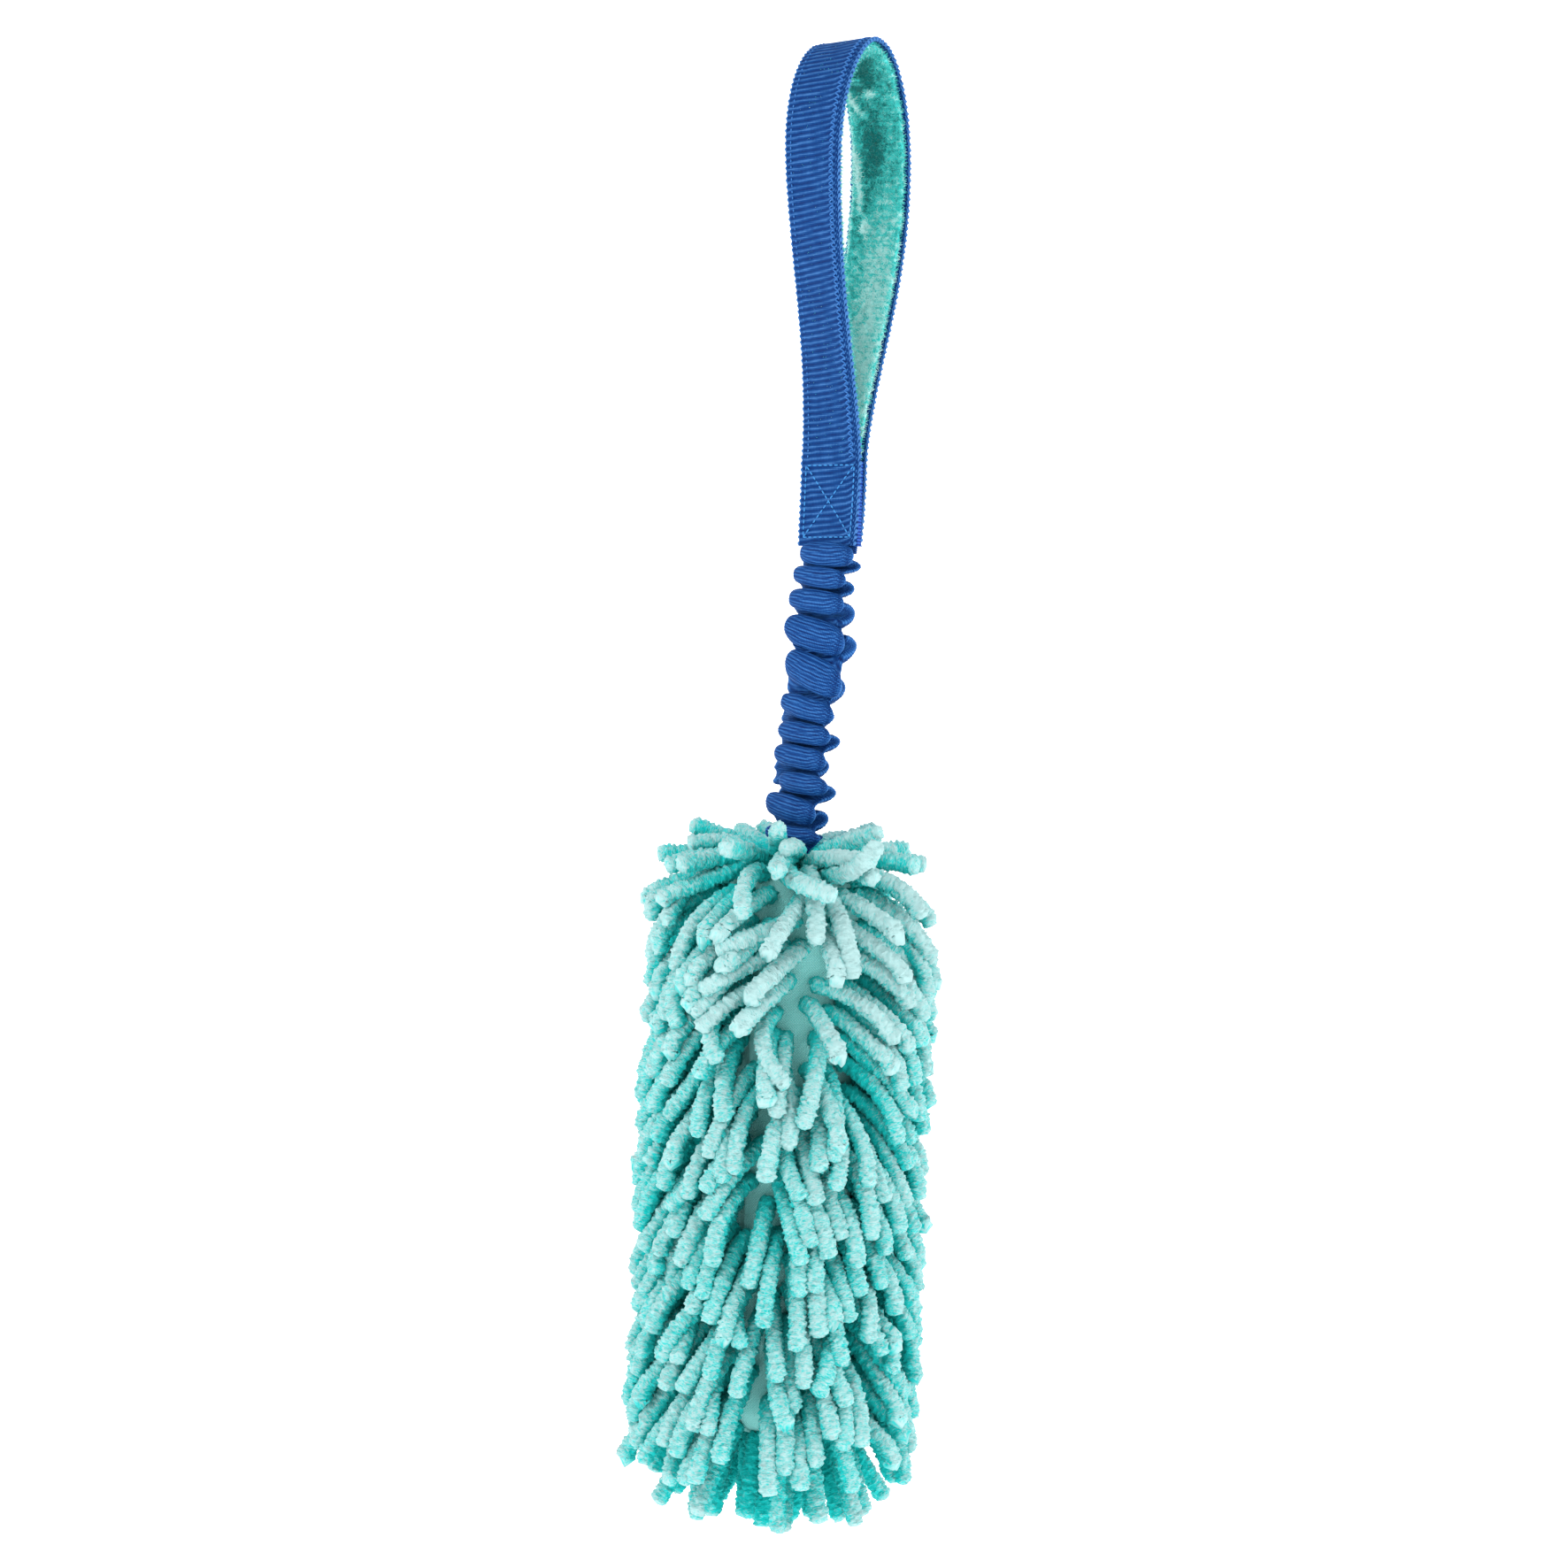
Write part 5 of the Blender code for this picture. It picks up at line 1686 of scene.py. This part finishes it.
    def keep_out(self, points: np.ndarray) -> np.ndarray:
        """Move points out of the cover and the sleeve, and back within the mop's reach."""
        shape = points.shape
        flat = points.reshape(-1, 3).copy()
        centre = np.array((self.axis, 0.0))
        away = flat[:, :2] - centre
        radius = np.linalg.norm(away, axis=1) + 1e-9
        least = self.radius_at(flat[:, 2]) + self.noodle_radius * 0.9
        flat[:, :2] = centre + away * (np.maximum(radius, least) / radius)[:, None]
        above = flat[:, 2] > self.mouth + 3 * MM
        away = (flat[:, :2] - centre) / np.array((16.0 * MM, 11.0 * MM))
        radius = np.linalg.norm(away, axis=1) + 1e-9
        grown = np.where(above & (radius < 1), 1 / radius, 1.0)
        flat[:, :2] += (flat[:, :2] - centre) * (grown - 1)[:, None]
        ends = self.mouth - self.side_length, self.mouth
        shift = np.interp(flat[:, 2], ends, (self.base_shift, self.top_shift))
        middle = centre + np.column_stack((shift, shift * 0.5))
        away = flat[:, :2] - middle
        radius = np.linalg.norm(away, axis=1) + 1e-9
        most = self.reach - self.noodle_radius
        kept = np.where(radius > most, most + (radius - most) * 0.35, radius)
        flat[:, :2] = middle + away * (kept / radius)[:, None]
        lowest = self.mouth - self.crown_height - self.side_length - 43.5 * MM
        flat[:, 2] = np.maximum(flat[:, 2], lowest)
        return flat.reshape(shape)

    def noodle_seed(
        self, name: str, chains: np.ndarray, pale: float, draw: np.random.Generator
    ) -> bpy.types.Mesh:
        """The lines of one group's noodles, each with its own thickness, random tone and pattern, painted
        paler by group and beside the parting as painted light.

        Args:
            name: The mesh's name.
            chains: The noodles' points.
            pale: How much paler than usual they are.
            draw: The random numbers.

        Returns:
            The lines.
        """
        count, size = chains.shape[:2]
        mesh = bpy.data.meshes.new(name)
        starts = [chain * size + number for chain in range(count) for number in range(size - 1)]
        links = [(start, start + 1) for start in starts]
        mesh.from_pydata(chains.reshape(-1, 3).tolist(), links, [])
        tones_and_painted_light = pale + draw.uniform(-0.06, 0.06, count)
        # Painted light: noodles beside the parting are painted paler, as they lie on top, unshadowed.
        tones_and_painted_light += self.parting_paler * self.beside_parting(chains[:, 0])
        for label, values in (("plump", draw.uniform(0.93, 1.06, count)), ("tint", tones_and_painted_light)):
            spread = np.repeat(values, size).astype(np.float32)
            mesh.attributes.new(label, "FLOAT", "POINT").data.foreach_set("value", spread)
        places = np.repeat(draw.uniform(0, 90, (count, 3)), size, axis=0)
        layer = mesh.attributes.new("own_place", "FLOAT_VECTOR", "POINT")
        layer.data.foreach_set("vector", places.astype(np.float32).ravel())
        return mesh

    def build_noodles(self, noodles: NoodleRecipe) -> None:
        """Make the noodles of the crown, the bands and the base."""
        groups, strands = self.chains()
        points = strands.settle(self.keep_out)
        draw = np.random.default_rng(self.seed_number + 1)
        outline = self.outline()
        halves = [f"band_{number + 1}_{half}" for number in range(self.bands) for half in ("upper", "lower")]
        for name in ("crown", *halves, "base"):
            chains = points[[number for number, group in enumerate(groups) if group == name]]
            piece = noodles.make(
                f"noodles_{name}",
                self.noodle_seed(f"noodle_lines_{name}", chains, dict(self.paler).get(name, 0.0), draw),
                NOODLES,
                radius=self.noodle_radius,
                axis_x=self.axis,
                cover_top=outline[2, 1],
                cover_base=outline[5, 1],
                cover_radius=self.cover_radius,
                reach=self.reach - 5 * MM,
            )
            nodes = () if name.endswith("lower") else (f"mop_{name.removesuffix('_upper')}",)
            settle(piece, Body.MOP, Slot.NOODLES, *nodes)

    def lathe(self, name: str, outline: np.ndarray, columns: int, lumps: float) -> bpy.types.Mesh:
        """A turned skin with its own length and girth noted on it.

        Args:
            name: The mesh's name.
            outline: Radius and height from the top to the bottom.
            columns: How many points go round.
            lumps: How far it bulges here and there.

        Returns:
            The skin.
        """
        lengths = np.concatenate(([0.0], np.cumsum(np.linalg.norm(np.diff(outline, axis=0), axis=1))))
        along = np.arange(0.0, lengths[-1], 1.6 * MM)
        radii = np.interp(along, lengths, outline[:, 0])
        heights = np.interp(along, lengths, outline[:, 1])
        angles = np.arange(columns) / columns * math.tau
        levels = heights[:, None]
        wave = np.sin(3 * angles + levels * 90) * np.cos(levels * 160 + 2 * angles)
        grown = radii[:, None] + lumps * wave
        rings = np.stack(
            (self.axis + grown * np.sin(angles), -grown * np.cos(angles), np.repeat(levels, columns, axis=1)),
            axis=2,
        )
        faces = []
        for row in range(len(along) - 1):
            for column in range(columns):
                after = (column + 1) % columns
                start, below = row * columns, (row + 1) * columns
                faces.append((start + column, below + column, below + after, start + after))
        faces.append(tuple(range(columns)))
        faces.append(tuple((len(along) - 1) * columns + number for number in reversed(range(columns))))
        mesh = bpy.data.meshes.new(name)
        mesh.from_pydata(rings.reshape(-1, 3).tolist(), [], faces)
        girth = np.tile(angles * self.cover_radius, len(along))
        for label, values in (("along", np.repeat(along, columns)), ("across", girth)):
            mesh.attributes.new(label, "FLOAT", "POINT").data.foreach_set("value", values.astype(np.float32))
        mesh.shade_smooth()
        return mesh

    def build_skin(self) -> None:
        """Make the knitted backing and the filling inside it."""
        outline = self.outline()
        inner = outline.copy()
        inner[:, 0] = np.maximum(inner[:, 0] - self.cover_wall - 0.8 * MM, 0.4 * MM)
        inner[:, 1] += np.where(np.arange(len(inner)) < 4, -2.5 * MM, 2.0 * MM)
        outline[-1, 0] = 0.4 * MM
        for name, line, finish, slot, nodes, lumps in (
            ("knitted_backing", outline, BACKING, Slot.NOODLES, (), 0.3 * MM),
            ("fibre_filling", inner, FIBREFILL, Slot.FILLING, ("mop_filling",), 0.5 * MM),
        ):
            mesh = self.lathe(name, line, 96, lumps)
            mesh.materials.append(finish.material())
            piece = bpy.data.objects.new(name, mesh)
            bpy.context.scene.collection.objects.link(piece)
            settle(piece, Body.MOP, slot, *nodes)

    def build(self, noodles: NoodleRecipe) -> None:
        """Make the whole mop."""
        self.build_skin()
        self.build_noodles(noodles)


@dataclass
class Studio:
    """The camera, the soft lights and the pale floor that sweeps up behind the toy."""

    focal_length: float = 85.0
    sensor: float = 36.0
    distance: float = 1.393
    azimuth: float = math.radians(30)
    roll: float = math.radians(1.89)
    target: tuple[float, float, float] = (-0.0144, -0.0048, -0.2769)
    floor_drop: float = 0.18
    floor_reach: float = 9.0
    floor_back: float = 1.2
    floor_bend: float = 0.6
    backdrop_height: float = 3.0
    floor_glow: float = 0.5
    light_distance: float = 1.6
    lights: tuple = (
        ("key_light", 0, 0.7, 1.2, 13.0),
        ("right_light", 95, 0.2, 1.2, 6.5),
        ("left_light", -65, 0.2, 1.2, 4.5),
    )
    world_light: float = 0.8

    def place_camera(self) -> None:
        """Stand the camera where the photograph was taken."""
        data = bpy.data.cameras.new("camera")
        data.lens = self.focal_length
        data.sensor_width = self.sensor
        camera = bpy.data.objects.new("camera", data)
        bpy.context.scene.collection.objects.link(camera)
        away = Vector((math.sin(self.azimuth), -math.cos(self.azimuth), 0.0))
        camera.location = Vector(self.target) + away * self.distance
        turn = away.to_track_quat("Z", "Y").to_euler()
        camera.rotation_euler = turn
        camera.rotation_euler.rotate_axis("Z", self.roll)
        bpy.context.scene.camera = camera

    def place_light(self, name: str, bearing: float, height: float, size: float, power: float) -> None:
        """Hang one soft square light.

        Args:
            name: Its name.
            bearing: Its azimuth in degrees; zero is straight in front of the toy.
            height: How far above the toy's middle it hangs.
            size: Its side.
            power: Its power in watts.
        """
        data = bpy.data.lights.new(name, "AREA")
        data.shape = "SQUARE"
        data.size = size
        data.energy = power
        light = bpy.data.objects.new(name, data)
        bpy.context.scene.collection.objects.link(light)
        away = Vector((math.sin(math.radians(bearing)), -math.cos(math.radians(bearing)), height))
        light.location = Vector(self.target) + away * self.light_distance
        light.rotation_euler = away.to_track_quat("Z", "Y").to_euler()

    def sweep(self) -> None:
        """Lay the floor and its curve up into a backdrop."""
        lowest = CAD_BOX[0][2] - self.floor_drop
        back, bend = self.floor_back, self.floor_bend
        line = [(-self.floor_reach, lowest), (back, lowest)]
        for turn in np.linspace(0.2, 1.57, 8):
            line.append((back + bend * math.sin(turn), lowest + bend * (1 - math.cos(turn))))
        line.append((back + bend, self.backdrop_height))
        mesh = bpy.data.meshes.new("floor")
        points = [(way * self.floor_reach, depth, height) for depth, height in line for way in (-1, 1)]
        faces = [(2 * row, 2 * row + 1, 2 * row + 3, 2 * row + 2) for row in range(len(line) - 1)]
        mesh.from_pydata(points, [], faces)
        mesh.shade_smooth()
        paper = bpy.data.materials.new("pale_paper")
        paper.use_nodes = True
        shader = paper.node_tree.nodes["Principled BSDF"]
        shader.inputs["Base Color"].default_value = (0.93, 0.93, 0.93, 1.0)
        shader.inputs["Roughness"].default_value = 0.9
        shader.inputs["Emission Color"].default_value = (1.0, 1.0, 1.0, 1.0)
        shader.inputs["Emission Strength"].default_value = self.floor_glow
        mesh.materials.append(paper)
        floor = bpy.data.objects.new("floor", mesh)
        bpy.context.scene.collection.objects.link(floor)
        floor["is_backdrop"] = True

    def build(self) -> None:
        """Set up the whole studio."""
        self.place_camera()
        self.sweep()
        for light in self.lights:
            self.place_light(*light)
        world = bpy.data.worlds.new("studio")
        world.use_nodes = True
        wiring = Wiring(world.node_tree)
        seen = wiring.add("ShaderNodeLightPath").outputs["Is Camera Ray"]
        sky = world.node_tree.nodes["Background"].inputs
        sky["Color"].default_value = (1.0, 1.0, 1.0, 1.0)
        strength = wiring.maths("MULTIPLY_ADD", seen, 1.0 - self.world_light, self.world_light)
        wiring.feed(sky["Strength"], strength)
        bpy.context.scene.world = world
        bpy.context.scene.view_settings.view_transform = "Standard"


@dataclass(frozen=True)
class Tape(Finish):
    """Woven tape on a solid without its own pattern: ribs across its drop."""

    rib: float = 1.2 * MM

    def relief(self, wiring: Wiring) -> tuple[object, object, float]:
        """Follow ribs at each height, with yarns crossing them."""
        place = wiring.add("ShaderNodeTexCoord").outputs["Object"]
        spot = wiring.add("ShaderNodeSeparateXYZ", {0: place})
        ribs = wiring.wave(wiring.maths("DIVIDE", spot.outputs[2], self.rib))
        yarns = wiring.wave(wiring.maths("DIVIDE", spot.outputs[0], self.rib / 2))
        share = wiring.maths("MULTIPLY_ADD", yarns, 0.3, wiring.maths("MULTIPLY", ribs, 0.7))
        return share, share, 0.15 * MM


def dress_solids() -> None:
    """Give the sewn-in solids that stay their finishes."""
    blue = Tape("blue_tape", dye(12, 34, 105), dye(30, 80, 175), dye(64, 124, 210), 0.65)
    navy = Tape("navy_tape", dye(10, 16, 50), dye(16, 28, 88), dye(34, 52, 120), 0.75)
    finishes = {
        "sleeve_sewn_end": blue,
        "sleeve_sewn_tail": blue,
        "elastic_upper_end": navy,
        "elastic_lower_end": navy,
        "neck_bar_tack": BLUE_THREAD,
        "mouth_gather_thread": MINT_THREAD,
        "cover_seam_thread": MINT_THREAD,
        "base_closing_thread": MINT_THREAD,
    }
    for node, finish in finishes.items():
        solid = frame["nodes"][node]
        for slot in solid.material_slots:
            slot.material = finish.material()


def write_sizes() -> None:
    """Work out the solids' box and the finished toy's box as plain numbers."""
    boxes = {"cad": CAD_BOX, "visual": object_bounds()}
    plain = {name: [[float(value) for value in corner] for corner in box] for name, box in boxes.items()}


def main() -> None:
    """Build the toy piece by piece, then its studio."""
    logging.basicConfig(level=logging.INFO, format="%(message)s")
    weave, threads, pile = StripRecipe(), StitchRecipe(), PileRecipe()
    HandLoop().build(weave, pile, threads)
    BungeeSleeve().build(weave)
    MopHead().build(NoodleRecipe())
    dress_solids()
    Studio().build()
    write_sizes()


if __name__ == "__main__":
    main()
